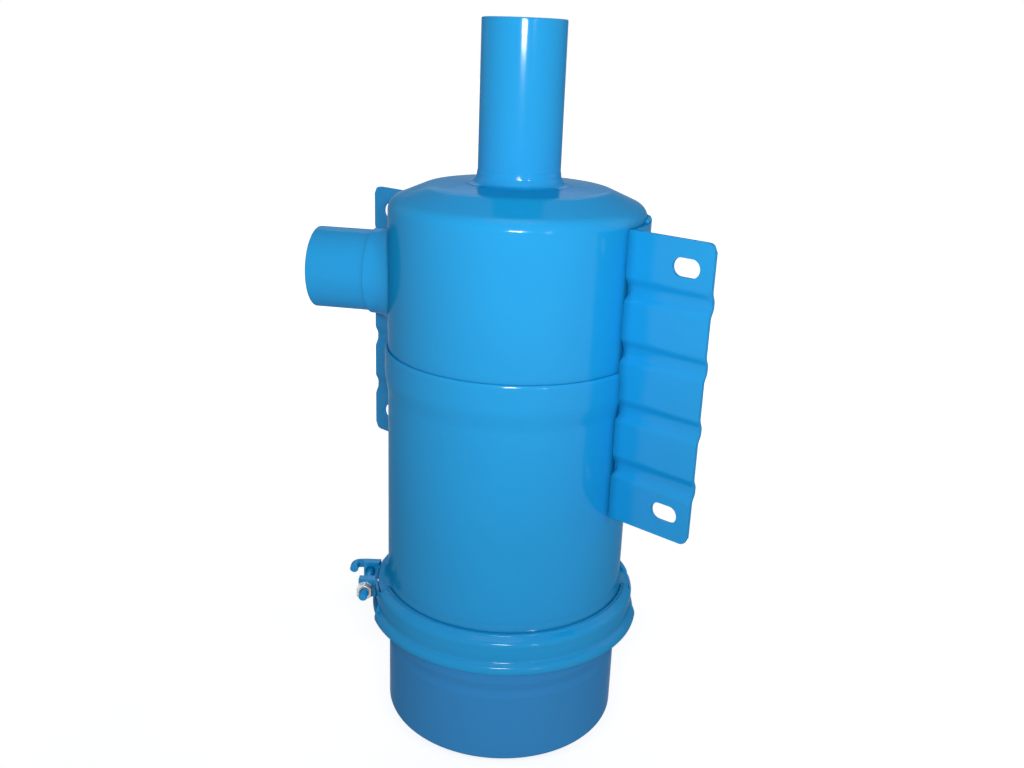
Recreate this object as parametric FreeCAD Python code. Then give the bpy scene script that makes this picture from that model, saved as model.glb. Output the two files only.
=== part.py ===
import FreeCAD, Part
import os
from math import asin, atan2, cos, degrees, pi, radians, sin, sqrt, tan

# Oil-bath air cleaner: air goes down the centre tube to the oil in the cup, back up through
# the wire gauze around the tube, and out at the side pipe.
# All lengths are in millimetres and all angles in degrees. +Z is up, the origin is the
# middle of the cup's flat underside, and the bracket's wings lie along X.

# Sheet thicknesses
HEAD_SHEET = 1.2
BODY_SHEET = 1.4
CUP_SHEET = 1.2
BAND_SHEET = 1.5
BRACKET_SHEET = 2.5
ELEMENT_SHEET = 0.8
INNER_CUP_SHEET = 1.0

# Head shell, whose radius the shells below it follow
HEAD_RADIUS = 80.0
HEAD_HEIGHT = 111.6
HEAD_KNUCKLE = 9.0
HEAD_CONE_ANGLE = 23.2
HEAD_CONE_WIDTH = 24.0
HEAD_CROWN_ANGLE = 3.0
HEAD_CROWN_BEND = 18.0

# Body shell
BODY_INSET = 0.2
BODY_LENGTH = 144.5
BELL_STEP = 1.8
BELL_DEPTH = 19.5
BELL_TAPER = 4.0
FLARE_RADIUS = 12.0
FLANGE_ANGLE = 26.0
FLANGE_WIDTH = 6.2
GASKET_WIDTH = 5.4
GASKET_STANDOFF = 10.7

# Oil cup
CUP_INSET = 1.0
CUP_DEPTH = 84.0
CUP_CORNER = 3.0
CUP_GROOVE_DROP = 31.5
CUP_GROOVE_WIDTH = 11.0
CUP_GROOVE_DEPTH = 1.3
CUP_RIM_WIDTH = 7.9
CUP_BEAD_RADIUS = 3.2
CUP_BEAD_DROP = 8.4
CUP_BEAD_OFFSET = 0.5

# Inner cup
INNER_CUP_INSET = 17.0
INNER_CUP_HEIGHT = 47.0
INNER_CUP_RIM = 3.0
INNER_CUP_CORNER = 4.0
INNER_CUP_HOLES = 10
INNER_CUP_HOLE_RADIUS = 4.0
INNER_CUP_HOLE_HEIGHT = 11.0

# Intake pipe and centre tube
INTAKE_RADIUS = 25.4
INTAKE_WALL = 1.6
INTAKE_EDGE = 0.5
INTAKE_STANDOUT = 86.94
INTAKE_STEP = 0.4
INTAKE_REACH = 14.0
COLLAR_HEIGHT = 8.0
COLLAR_FOOT = 7.5
COLLAR_LIP = 0.8
TUBE_WALL = 1.4
TUBE_OVERLAP = 16.0
TUBE_END_HEIGHT = 34.0

# Outlet pipe
OUTLET_RADIUS = 26.0
OUTLET_WALL = 1.5
OUTLET_STEP = 0.4
OUTLET_STANDOUT = 38.0
OUTLET_LOWERING = 3.55
OUTLET_AZIMUTH = -149.5
OUTLET_INSIDE = 3.0
OUTLET_COLLAR_LENGTH = 12.0
OUTLET_COLLAR_WALL = 1.8
OUTLET_FLARE = 4.5

# Bracket
BRACKET_HEIGHT = 182.0
BRACKET_DROP = 6.1
WING_WIDTH = 57.0
WING_CORNER = 5.0
WING_SETBACK = 5.0
WING_GROOVES = 4
WING_GROOVE_MARGIN = 35.05
WING_GROOVE_WIDTH = 13.0
WING_GROOVE_FLOOR = 5.0
WING_GROOVE_DEPTH = 2.4
WING_GROOVE_BEND = 1.3
SLOT_EDGE_X = 17.5
SLOT_EDGE_Z = 16.0
SLOT_LENGTH = 18.0
SLOT_RADIUS = 5.5
WELD_SIZE = 2.4
WELD_LENGTH = 22.0
WELD_COUNT = 3

# Fixed filter above the element
GAUZE_HEIGHT = 70.0
GAUZE_TOP_BELOW_OUTLET = 50.0
SCREEN_THICKNESS = 1.2
SCREEN_RING_WIDTH = 4.0
SCREEN_RING_HEIGHT = 3.0
SCREEN_HOLE_RADIUS = 5.0
SCREEN_HOLE_ROWS = 2
SCREEN_HOLES_PER_ROW = 14

# Removable element
ELEMENT_INSET = 1.6
ELEMENT_TOP_DROP = 13.0
ELEMENT_FLOOR_HEIGHT = 8.0
ELEMENT_LIP = 4.0
ELEMENT_CORNER = 1.6

# Clamp band and its closure
CLAMP_AZIMUTH = -140.0
BAND_LEG_WIDTH = 5.2
BAND_KNEE = 2.5
BAND_HOOK_ANGLE = 20.0
BAND_PLAIN_BACK = 8.0
BAND_PLAIN_FRONT = 20.5
LUG_THICKNESS = 6.0
LUG_GAP = 18.0
LUG_REACH = 4.7
LUG_HEIGHT = 13.0
LUG_WELD = 2.2
BOLT_RADIUS = 3.0
BOLT_TAIL = 6.0
HOOK_BEND = 5.0
HOOK_ARM = 12.0
HOOK_TIP_BEND = 4.0
HOOK_TIP = 4.5
NUT_ACROSS_FLATS = 10.0
NUT_HEIGHT = 5.0
WASHER_RADIUS = 5.5
WASHER_THICKNESS = 1.6

# Clearances
SEAT_GAP = 0.3
FIT_GAP = 0.15
SLIP_GAP = 1.2
THREAD_GAP = 0.05
HOLE_GAP = 0.4
SLOT_PLAY = 1.2
CUT_MARGIN = 1.0
SAME_POINT = 0.000001

# Levels above the cup's underside
RIM_TOP = CUP_DEPTH
BEAD_HEIGHT = CUP_DEPTH - CUP_BEAD_DROP
CUP_GROOVE_HEIGHT = CUP_DEPTH - CUP_GROOVE_DROP
GASKET_BOTTOM = RIM_TOP + ELEMENT_SHEET
FLARE_KNEE = GASKET_BOTTOM + GASKET_STANDOFF
SHOULDER = FLARE_KNEE + BODY_LENGTH
BELL_TOP = SHOULDER + BELL_DEPTH
HEAD_CORNER = SHOULDER + HEAD_HEIGHT
CROWN_EDGE = HEAD_CORNER + HEAD_CONE_WIDTH * tan(radians(HEAD_CONE_ANGLE))
OUTLET_LEVEL = (BELL_TOP + HEAD_CORNER) / 2 - OUTLET_LOWERING
BRACKET_TOP = HEAD_CORNER - BRACKET_DROP
BRACKET_BOTTOM = BRACKET_TOP - BRACKET_HEIGHT
GAUZE_TOP = OUTLET_LEVEL - GAUZE_TOP_BELOW_OUTLET
GAUZE_BOTTOM = GAUZE_TOP - GAUZE_HEIGHT
ELEMENT_TOP = GAUZE_BOTTOM - SCREEN_THICKNESS - SCREEN_RING_HEIGHT - ELEMENT_TOP_DROP
ELEMENT_FLOOR = RIM_TOP + ELEMENT_FLOOR_HEIGHT

# Radii and reaches that several pieces share
HEAD_INSIDE = HEAD_RADIUS - HEAD_SHEET
HEAD_CROWN_RADIUS = HEAD_RADIUS - HEAD_CONE_WIDTH
BODY_RADIUS = HEAD_RADIUS - BODY_INSET
BODY_INSIDE = BODY_RADIUS - BODY_SHEET
BELL_RADIUS = HEAD_RADIUS + BELL_STEP
FLANGE_EDGE = BODY_RADIUS + FLANGE_WIDTH
CUP_RADIUS = HEAD_RADIUS - CUP_INSET
RIM_EDGE = CUP_RADIUS + CUP_RIM_WIDTH
BEAD_RADIUS = RIM_EDGE + CUP_BEAD_OFFSET
INNER_CUP_RADIUS = CUP_RADIUS - INNER_CUP_INSET
INTAKE_BORE = INTAKE_RADIUS - INTAKE_WALL
INTAKE_NECK = INTAKE_RADIUS - INTAKE_STEP
TUBE_RADIUS = INTAKE_BORE - THREAD_GAP * 2
OUTLET_NECK = OUTLET_RADIUS - OUTLET_STEP
OUTLET_SHOULDER = HEAD_RADIUS + OUTLET_COLLAR_LENGTH
OUTLET_REACH = OUTLET_SHOULDER + OUTLET_STANDOUT
WING_REACH = HEAD_RADIUS + WING_WIDTH
BAND_INSIDE = max(FLANGE_EDGE, RIM_EDGE) + SEAT_GAP
BAND_RADIUS = BAND_INSIDE + BAND_SHEET
BOLT_LINE = BAND_RADIUS + SEAT_GAP + WASHER_RADIUS
SADDLE_INSIDE = HEAD_RADIUS + FIT_GAP
ELEMENT_RADIUS = BODY_INSIDE - ELEMENT_INSET
ELEMENT_INSIDE = ELEMENT_RADIUS - ELEMENT_SHEET - FIT_GAP
SLEEVE_INSIDE = TUBE_RADIUS + SLIP_GAP
SLEEVE_RADIUS = SLEEVE_INSIDE + ELEMENT_SHEET

Z_AXIS = FreeCAD.Vector(0, 0, 1)
Y_AXIS = FreeCAD.Vector(0, 1, 0)
X_AXIS = FreeCAD.Vector(1, 0, 0)
ORIGIN = FreeCAD.Vector(0, 0, 0)


# Sections

def upright(across, height):
    """A section point in the plane y = 0, from which round pieces are turned."""
    return FreeCAD.Vector(across, 0, height)


def direction(start, end):
    """Unit direction from one section point to the next."""
    across = end[0] - start[0]
    height = end[1] - start[1]
    length = sqrt(across ** 2 + height ** 2)
    return across / length, height / length


def turn_between(before, after):
    """Angle in radians that a path turns at a corner, positive to the left."""
    cross = before[0] * after[1] - before[1] * after[0]
    dot = before[0] * after[0] + before[1] * after[1]
    return atan2(cross, dot)


def shifted(path, distance):
    """The path moved to its left by a distance, with its bends about the same centres."""
    moved = []
    for index, (across, height, bend) in enumerate(path):
        before = direction(path[max(index - 1, 0)], path[max(index, 1)])
        after = direction(path[min(index, len(path) - 2)], path[min(index + 1, len(path) - 1)])
        turn = turn_between(before, after)
        stretch = distance / (1 + cos(turn))
        moved_across = across - (before[1] + after[1]) * stretch
        moved_height = height + (before[0] + after[0]) * stretch
        change = distance if turn < 0 else -distance
        moved_bend = max(bend + change, 0) if bend else 0
        moved.append((moved_across, moved_height, moved_bend))
    return moved


def path_edges(path, place=upright):
    """Straight runs and round bends along a path of (across, height, bend radius) corners."""
    edges = []
    last = path[0][:2]
    for index in range(1, len(path)):
        corner = path[index]
        if index == len(path) - 1 or corner[2] == 0:
            edges += run(last, corner[:2], place)
            last = corner[:2]
            continue
        before = direction(path[index - 1], corner)
        after = direction(corner, path[index + 1])
        turn = turn_between(before, after)
        tangent = corner[2] * tan(abs(turn) / 2)
        start = (corner[0] - before[0] * tangent, corner[1] - before[1] * tangent)
        end = (corner[0] + after[0] * tangent, corner[1] + after[1] * tangent)
        bisector = direction((0, 0), (after[0] - before[0], after[1] - before[1]))
        sag = corner[2] * (1 / cos(turn / 2) - 1)
        middle = (corner[0] + bisector[0] * sag, corner[1] + bisector[1] * sag)
        edges += run(last, start, place)
        edges.append(Part.Arc(place(*start), place(*middle), place(*end)).toShape())
        last = end
    return edges


def run(start, end, place):
    """A straight edge, or none where two bends meet."""
    first = place(*start)
    second = place(*end)
    if first.distanceToPoint(second) < SAME_POINT:
        return []
    return [Part.LineSegment(first, second).toShape()]


def sheet_face(path, thickness, place=upright):
    """Section of a sheet whose skin follows the path, thickened to the path's left."""
    other = shifted(path, thickness)
    edges = path_edges(path, place)
    edges += run(path[-1][:2], other[-1][:2], place)
    edges += path_edges(list(reversed(other)), place)
    edges += run(other[0][:2], path[0][:2], place)
    return Part.Face(Part.Wire(Part.__sortEdges__(edges)))


def polygon_face(points, place=upright):
    """Section with straight sides."""
    corners = [place(*point) for point in points]
    return Part.Face(Part.makePolygon(corners + corners[:1]))


def turned(face, start=0, sweep=360):
    """Solid of a section turned about the vessel's axis."""
    solid = face.revolve(ORIGIN, Z_AXIS, sweep)
    solid.rotate(ORIGIN, Z_AXIS, start)
    return solid


def turned_sheet(path, thickness, start=0, sweep=360):
    """Pressed round sheet."""
    return turned(sheet_face(path, thickness), start, sweep)


def tube(inside, outside, bottom, top):
    """Plain upright tube or ring."""
    corners = [(inside, bottom), (outside, bottom), (outside, top), (inside, top)]
    return turned(polygon_face(corners))


def rod(radius, start, end):
    """Solid cylinder between two points."""
    span = end - start
    return Part.makeCylinder(radius, span.Length, start, span)


def about_outlet(shape):
    """Turn a shape built along +X to the outlet's bearing."""
    shape.rotate(ORIGIN, Z_AXIS, OUTLET_AZIMUTH)
    return shape


def about_clamp(shape):
    """Turn a shape built at +X to the clamp's closure."""
    shape.rotate(ORIGIN, Z_AXIS, CLAMP_AZIMUTH)
    return shape


# Head, pipes and body shell

def crown_height(radius):
    """Height of the head's crown at a radius."""
    return CROWN_EDGE + (HEAD_CROWN_RADIUS - radius) * tan(radians(HEAD_CROWN_ANGLE))


def body_skin():
    """Outer skin of the body shell, from the bell's lip down to the flange's edge."""
    flange_drop = FLANGE_WIDTH * tan(radians(FLANGE_ANGLE))
    return [
        (BELL_RADIUS, BELL_TOP, 0),
        (BELL_RADIUS, SHOULDER, BELL_TAPER / 2),
        (BODY_RADIUS, SHOULDER - BELL_TAPER, BELL_TAPER / 2),
        (BODY_RADIUS, FLARE_KNEE, FLARE_RADIUS),
        (FLANGE_EDGE, FLARE_KNEE - flange_drop, 0),
    ]


def head_seat():
    """Height at which the head's lower edge meets the taper inside the bell."""
    inner = shifted(body_skin(), -BODY_SHEET)
    upper, lower = inner[1], inner[2]
    share = (upper[0] - HEAD_RADIUS) / (upper[0] - lower[0])
    return upper[1] - share * (upper[1] - lower[1]) + FIT_GAP


def turned_on_outlet(face):
    """Solid of a section turned about the outlet's axis."""
    solid = face.revolve(ORIGIN, X_AXIS, 360)
    solid.translate(Z_AXIS * OUTLET_LEVEL)
    return about_outlet(solid)


def make_head_shell():
    skin = [
        (HEAD_RADIUS, head_seat(), 0),
        (HEAD_RADIUS, HEAD_CORNER, HEAD_KNUCKLE),
        (HEAD_CROWN_RADIUS, CROWN_EDGE, HEAD_CROWN_BEND),
        (INTAKE_NECK + FIT_GAP, crown_height(INTAKE_NECK + FIT_GAP), 0),
    ]
    level = Z_AXIS * OUTLET_LEVEL
    hole = about_outlet(rod(OUTLET_NECK + FIT_GAP, level, level + X_AXIS * OUTLET_REACH))
    return turned_sheet(skin, HEAD_SHEET).cut(hole)


def make_body_shell():
    return turned_sheet(body_skin(), -BODY_SHEET)


def collar_top():
    return crown_height(INTAKE_NECK) + COLLAR_HEIGHT


def intake_bottom():
    return crown_height(INTAKE_NECK) - INTAKE_REACH


def make_intake_pipe():
    top = collar_top() + INTAKE_STANDOUT
    corners = [
        (INTAKE_BORE, intake_bottom()),
        (INTAKE_NECK, intake_bottom()),
        (INTAKE_NECK, collar_top()),
        (INTAKE_RADIUS, collar_top()),
        (INTAKE_RADIUS, top - INTAKE_EDGE),
        (INTAKE_RADIUS - INTAKE_EDGE, top),
        (INTAKE_BORE + INTAKE_EDGE, top),
        (INTAKE_BORE, top - INTAKE_EDGE),
    ]
    return turned(polygon_face(corners))


def flared_face(before, hollow, after):
    """Straight-sided section, but for one hollow arc between the corners before and after it."""
    edges = []
    for start, end in zip(before, before[1:]):
        edges += run(start, end, upright)
    edges.append(Part.Arc(upright(*before[-1]), upright(*hollow), upright(*after[0])).toShape())
    for start, end in zip(after, after[1:] + before[:1]):
        edges += run(start, end, upright)
    return Part.Face(Part.Wire(edges))


def make_intake_collar():
    inside = INTAKE_NECK + THREAD_GAP
    lip = inside + COLLAR_LIP
    foot = inside + COLLAR_FOOT
    foot_height = crown_height(foot) + THREAD_GAP
    foot_top = foot_height + COLLAR_LIP / 2
    before = [(inside, crown_height(inside) + THREAD_GAP), (inside, collar_top()), (lip, collar_top())]
    hollow = ((lip * 3 + foot) / 4, (collar_top() + foot_top * 3) / 4)
    return turned(flared_face(before, hollow, [(foot, foot_top), (foot, foot_height)]))


def make_centre_tube():
    top = intake_bottom() + TUBE_OVERLAP
    return tube(TUBE_RADIUS - TUBE_WALL, TUBE_RADIUS, TUBE_END_HEIGHT, top)


def make_outlet_pipe():
    bore = OUTLET_RADIUS - OUTLET_WALL
    corners = [
        (0, bore),
        (0, OUTLET_NECK),
        (OUTLET_SHOULDER, OUTLET_NECK),
        (OUTLET_SHOULDER, OUTLET_RADIUS),
        (OUTLET_REACH, OUTLET_RADIUS),
        (OUTLET_REACH, bore),
    ]
    inner_space = Part.makeCylinder(HEAD_INSIDE - OUTLET_INSIDE, HEAD_CORNER)
    return turned_on_outlet(polygon_face(corners)).cut(inner_space)


def make_outlet_collar():
    inside = OUTLET_NECK + THREAD_GAP
    outside = inside + OUTLET_COLLAR_WALL
    flare = outside + OUTLET_FLARE
    flare_start = HEAD_RADIUS + OUTLET_COLLAR_LENGTH / 2
    root = sqrt(HEAD_RADIUS ** 2 - flare ** 2) - OUTLET_COLLAR_WALL
    before = [(root, inside), (OUTLET_SHOULDER, inside), (OUTLET_SHOULDER, outside), (flare_start, outside)]
    hollow = ((flare_start + root) / 2, (outside * 3 + flare) / 4)
    collar = turned_on_outlet(flared_face(before, hollow, [(root, flare)]))
    return collar.cut(Part.makeCylinder(HEAD_RADIUS + THREAD_GAP, HEAD_CORNER))


# Bracket

def groove_zones():
    """Height ranges that the stiffening grooves take."""
    pitch = (BRACKET_HEIGHT - 2 * WING_GROOVE_MARGIN) / (WING_GROOVES - 1)
    middles = [BRACKET_BOTTOM + WING_GROOVE_MARGIN + index * pitch for index in range(WING_GROOVES)]
    return [(middle - WING_GROOVE_WIDTH / 2, middle + WING_GROOVE_WIDTH / 2) for middle in middles]


def bell_zone():
    """Height range in which the saddle steps out over the bell."""
    slope = (WING_GROOVE_WIDTH - WING_GROOVE_FLOOR) / 2
    return SHOULDER - BELL_TAPER - slope, BELL_TOP + slope


def merged(zones):
    """Ranges in order, with those that meet joined."""
    joined = []
    for low, high in sorted(zones):
        if joined and low <= joined[-1][1] + BRACKET_SHEET:
            joined[-1] = (joined[-1][0], max(high, joined[-1][1]))
        else:
            joined.append((low, high))
    return joined


def pressed_path(zones, face, depth):
    """Front skin of the bracket sheet, upwards, stepped back by the depth in each zone."""
    slope = (WING_GROOVE_WIDTH - WING_GROOVE_FLOOR) / 2
    path = [(face, BRACKET_BOTTOM, 0)]
    for low, high in merged(zones):
        path.append((face, low, WING_GROOVE_BEND))
        path.append((face + depth, low + slope, WING_GROOVE_BEND))
        path.append((face + depth, high - slope, WING_GROOVE_BEND))
        path.append((face, high, WING_GROOVE_BEND))
    path.append((face, BRACKET_TOP, 0))
    return path


def saddle_depth():
    return max(WING_GROOVE_DEPTH, BELL_RADIUS + SEAT_GAP - SADDLE_INSIDE)


def saddle_path():
    return pressed_path(groove_zones() + [bell_zone()], SADDLE_INSIDE, saddle_depth())


def make_saddle():
    """Round middle of the bracket, behind the vessel, that starts inside the wings' sheet."""
    start = degrees(asin((WING_SETBACK + BRACKET_SHEET / 2) / SADDLE_INSIDE))
    return turned_sheet(saddle_path(), -BRACKET_SHEET, start, 180 - 2 * start)


def make_wings():
    """The flat sheet of both wings, before the vessel's room is cut out of it."""
    path = pressed_path(groove_zones(), WING_SETBACK, WING_GROOVE_DEPTH)
    end = X_AXIS * WING_REACH
    face = sheet_face(path, -BRACKET_SHEET, lambda back, height: FreeCAD.Vector(0, back, height) - end)
    return face.extrude(end * 2).common(wing_outline())


def wing_outline():
    """Prism with the wings' rounded outline."""
    outline = [
        (0, BRACKET_BOTTOM, 0),
        (WING_REACH, BRACKET_BOTTOM, WING_CORNER),
        (WING_REACH, BRACKET_TOP, WING_CORNER),
        (-WING_REACH, BRACKET_TOP, WING_CORNER),
        (-WING_REACH, BRACKET_BOTTOM, WING_CORNER),
        (0, BRACKET_BOTTOM, 0),
    ]
    face = Part.Face(Part.Wire(path_edges(outline)))
    depth = WING_GROOVE_DEPTH + 2 * BRACKET_SHEET
    prism = face.extrude(FreeCAD.Vector(0, 2 * depth, 0))
    prism.translate(FreeCAD.Vector(0, WING_SETBACK - depth, 0))
    return prism


def slot_cutter(across, height):
    """Stadium-shaped prism along Y."""
    half = SLOT_LENGTH / 2 - SLOT_RADIUS
    depth = FreeCAD.Vector(0, 4 * BRACKET_SHEET, 0)
    middle = FreeCAD.Vector(across, WING_SETBACK - depth.y / 2, height)
    bar = Part.makeBox(2 * half, depth.y, 2 * SLOT_RADIUS)
    bar.translate(middle - FreeCAD.Vector(half, 0, SLOT_RADIUS))
    for side in (-1, 1):
        start = middle + FreeCAD.Vector(side * half, 0, 0)
        bar = bar.fuse(rod(SLOT_RADIUS, start, start + depth))
    return bar


def vessel_room():
    """Everything inside the saddle's front skin."""
    path = saddle_path()
    corners = [(0, path[0][1], 0)] + path + [(0, path[-1][1], 0), (0, path[0][1], 0)]
    return turned(Part.Face(Part.Wire(path_edges(corners))))


def make_bracket():
    bracket = make_wings().cut(vessel_room()).fuse(make_saddle()).removeSplitter()
    for side in (-1, 1):
        for end in (-1, 1):
            across = side * (WING_REACH - SLOT_EDGE_X)
            height = (BRACKET_TOP + BRACKET_BOTTOM) / 2 + end * (BRACKET_HEIGHT / 2 - SLOT_EDGE_Z)
            bracket = bracket.cut(slot_cutter(across, height))
    return bracket


def weld_row(root, edge, size):
    """Short fillet beads around a shell, on an edge of the saddle."""
    section = polygon_face([(root, edge), (root + WELD_SIZE, edge), (root, edge + size)])
    sweep = degrees(WELD_LENGTH / root)
    starts = [180 * (index + 1 / 2) / WELD_COUNT - sweep / 2 for index in range(WELD_COUNT)]
    return [turned(section, start, sweep) for start in starts]


def make_bracket_welds():
    """Fillet welds along the saddle's upper and lower edges."""
    upper = weld_row(HEAD_RADIUS + THREAD_GAP, BRACKET_TOP + THREAD_GAP, WELD_SIZE)
    lower = weld_row(BODY_RADIUS + THREAD_GAP, BRACKET_BOTTOM - THREAD_GAP, -WELD_SIZE)
    return Part.makeCompound(upper + lower)


# Fixed filter

def perforated_disc(inside, outside, bottom):
    """Flat screen with rings of round holes."""
    disc = tube(inside, outside, bottom, bottom + SCREEN_THICKNESS)
    over = Z_AXIS * (SCREEN_THICKNESS + CUT_MARGIN)
    holes = []
    for row in range(SCREEN_HOLE_ROWS):
        pitch_radius = inside + (row + 1) * (outside - inside) / (SCREEN_HOLE_ROWS + 1)
        for index in range(SCREEN_HOLES_PER_ROW):
            angle = 2 * pi * (index + row / 2) / SCREEN_HOLES_PER_ROW
            middle = FreeCAD.Vector(pitch_radius * cos(angle), pitch_radius * sin(angle), bottom)
            holes.append(rod(SCREEN_HOLE_RADIUS, middle - over, middle + over))
    return disc.cut(Part.makeCompound(holes))


def make_upper_screen():
    return perforated_disc(TUBE_RADIUS + SEAT_GAP, BODY_INSIDE - FIT_GAP, GAUZE_TOP)


def make_lower_screen():
    bottom = GAUZE_BOTTOM - SCREEN_THICKNESS
    return perforated_disc(TUBE_RADIUS + SEAT_GAP, BODY_INSIDE - FIT_GAP, bottom)


def make_gauze_pack():
    return tube(TUBE_RADIUS + SEAT_GAP, BODY_INSIDE - SEAT_GAP, GAUZE_BOTTOM, GAUZE_TOP)


def make_screen_ring():
    top = GAUZE_BOTTOM - SCREEN_THICKNESS
    outside = BODY_INSIDE - THREAD_GAP
    return tube(outside - SCREEN_RING_WIDTH, outside, top - SCREEN_RING_HEIGHT, top)


# Removable element

def make_element_can():
    rim = BODY_INSIDE + BODY_SHEET + GASKET_WIDTH
    skin = [
        (rim, GASKET_BOTTOM, 0),
        (ELEMENT_RADIUS, GASKET_BOTTOM, ELEMENT_CORNER),
        (ELEMENT_RADIUS, ELEMENT_TOP, ELEMENT_CORNER),
        (ELEMENT_RADIUS - ELEMENT_LIP, ELEMENT_TOP, 0),
    ]
    return turned_sheet(skin, ELEMENT_SHEET)


def top_screen_bottom():
    return ELEMENT_TOP - ELEMENT_SHEET - SCREEN_THICKNESS


def make_element_sleeve():
    return tube(SLEEVE_INSIDE, SLEEVE_RADIUS, ELEMENT_FLOOR, ELEMENT_TOP - ELEMENT_SHEET)


def make_element_floor_screen():
    return perforated_disc(SLEEVE_RADIUS + FIT_GAP, ELEMENT_INSIDE, ELEMENT_FLOOR)


def make_element_top_screen():
    edge = ELEMENT_INSIDE - ELEMENT_CORNER
    return perforated_disc(SLEEVE_RADIUS + FIT_GAP, edge, top_screen_bottom())


def make_element_gauze():
    bottom = ELEMENT_FLOOR + SCREEN_THICKNESS
    return tube(SLEEVE_RADIUS + FIT_GAP, ELEMENT_INSIDE, bottom, top_screen_bottom())


# Cup, inner cup and gasket

def make_oil_cup():
    groove_half = CUP_GROOVE_WIDTH / 2
    skirt = RIM_EDGE - CUP_SHEET
    shelf = RIM_TOP - CUP_SHEET
    skin = [
        (0, 0, 0),
        (CUP_RADIUS, 0, CUP_CORNER),
        (CUP_RADIUS, CUP_GROOVE_HEIGHT - groove_half, groove_half),
        (CUP_RADIUS - CUP_GROOVE_DEPTH, CUP_GROOVE_HEIGHT, groove_half),
        (CUP_RADIUS, CUP_GROOVE_HEIGHT + groove_half, groove_half),
        (CUP_RADIUS, shelf, CUP_SHEET),
        (skirt, shelf, CUP_SHEET),
        (skirt, BEAD_HEIGHT, 0),
    ]
    bead = Part.makeTorus(BEAD_RADIUS, CUP_BEAD_RADIUS)
    bead.translate(Z_AXIS * BEAD_HEIGHT)
    return turned_sheet(skin, CUP_SHEET).fuse(bead)


def make_inner_cup():
    top = CUP_SHEET + INNER_CUP_HEIGHT
    skin = [
        (0, CUP_SHEET, 0),
        (INNER_CUP_RADIUS, CUP_SHEET, INNER_CUP_CORNER),
        (INNER_CUP_RADIUS, top, INNER_CUP_SHEET),
        (INNER_CUP_RADIUS + INNER_CUP_RIM, top, 0),
    ]
    cup = turned_sheet(skin, INNER_CUP_SHEET)
    height = CUP_SHEET + INNER_CUP_HOLE_HEIGHT
    reach = INNER_CUP_RADIUS + INNER_CUP_RIM
    for index in range(INNER_CUP_HOLES):
        hole = rod(INNER_CUP_HOLE_RADIUS, upright(0, height), upright(reach, height))
        hole.rotate(ORIGIN, Z_AXIS, 360 * index / INNER_CUP_HOLES)
        cup = cup.cut(hole)
    return cup


def make_cup_gasket():
    """Rubber ring that fills the flare under the body's flange."""
    outside = BODY_INSIDE + BODY_SHEET + GASKET_WIDTH
    top = FLARE_KNEE + FLARE_RADIUS
    ring = tube(BODY_RADIUS, outside, GASKET_BOTTOM, top)
    knee, edge = shifted(body_skin(), -BODY_SHEET - FIT_GAP)[3:]
    room = [
        (knee[0], top + FLARE_RADIUS, 0),
        knee,
        (edge[0] + FLANGE_WIDTH, edge[1] - FLANGE_WIDTH * tan(radians(FLANGE_ANGLE)), 0),
        (edge[0] + FLANGE_WIDTH, top + FLARE_RADIUS, 0),
        (knee[0], top + FLARE_RADIUS, 0),
    ]
    return ring.cut(turned(Part.Face(Part.Wire(path_edges(room)))))


# Clamp

def band_path():
    """Inner skin of the band, from the flange's flare down around the cup's bead."""
    bead_bend = CUP_BEAD_RADIUS + SEAT_GAP
    flange = shifted(body_skin(), SEAT_GAP)
    knee, edge = flange[3], flange[4]
    slope = direction(knee, edge)
    corner_height = knee[1] + (BAND_INSIDE - knee[0]) * slope[1] / slope[0]
    fillet_across = BAND_INSIDE + bead_bend - BEAD_RADIUS
    fillet_height = sqrt((2 * bead_bend) ** 2 - fillet_across ** 2)
    lean = (fillet_height / (2 * bead_bend), -fillet_across / (2 * bead_bend))
    join = (BEAD_RADIUS + fillet_across / 2, BEAD_HEIGHT + fillet_height / 2)
    back = (join[0] - BAND_INSIDE) / lean[0]
    hook_angle = radians(BAND_HOOK_ANGLE)
    tip = (BEAD_RADIUS + bead_bend * cos(hook_angle), BEAD_HEIGHT - bead_bend * sin(hook_angle))
    ahead = bead_bend * tan((atan2(fillet_height, fillet_across) + hook_angle) / 2)
    return [
        (knee[0], knee[1] + 2 * FLARE_RADIUS, 0),
        knee,
        (BAND_INSIDE, corner_height, BAND_KNEE),
        (BAND_INSIDE, join[1] - lean[1] * back, bead_bend),
        (join[0] + lean[0] * ahead, join[1] + lean[1] * ahead, bead_bend),
        (tip[0], tip[1], 0),
    ]


def strap_limits():
    """Heights between which the band's wall is plain."""
    path = band_path()
    return path[3][1] + CUP_BEAD_RADIUS, path[2][1] - BAND_KNEE


def strap_middle():
    low, high = strap_limits()
    return (low + high) / 2


def strap_end():
    """Angle from the closure's middle to the end of the strap."""
    return degrees(asin(LUG_GAP / 2 / BAND_RADIUS))


def make_band_half(side):
    """Half of the band, on the +1 or -1 side of the closure, out to the middle of its back."""
    low, high = strap_limits()
    plain = polygon_face([(BAND_INSIDE, low), (BAND_RADIUS, low), (BAND_RADIUS, high), (BAND_INSIDE, high)])
    pressed = sheet_face(band_path(), BAND_SHEET)
    front = turned(plain, side * strap_end(), side * (BAND_PLAIN_FRONT - strap_end()))
    middle = turned(pressed, side * BAND_PLAIN_FRONT, side * (180 - BAND_PLAIN_FRONT - BAND_PLAIN_BACK))
    middle = middle.cut(Part.makeCylinder(BAND_INSIDE - BAND_LEG_WIDTH, 2 * FLARE_KNEE))
    back = turned(plain, side * (180 - BAND_PLAIN_BACK), side * BAND_PLAIN_BACK)
    return about_clamp(front.fuse([middle, back]).removeSplitter())


def closure_point(out, along, height=0):
    """Point at the closure: outwards, along the bolt and above the bolt's line."""
    return FreeCAD.Vector(BOLT_LINE + out, along, strap_middle() + height)


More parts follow.
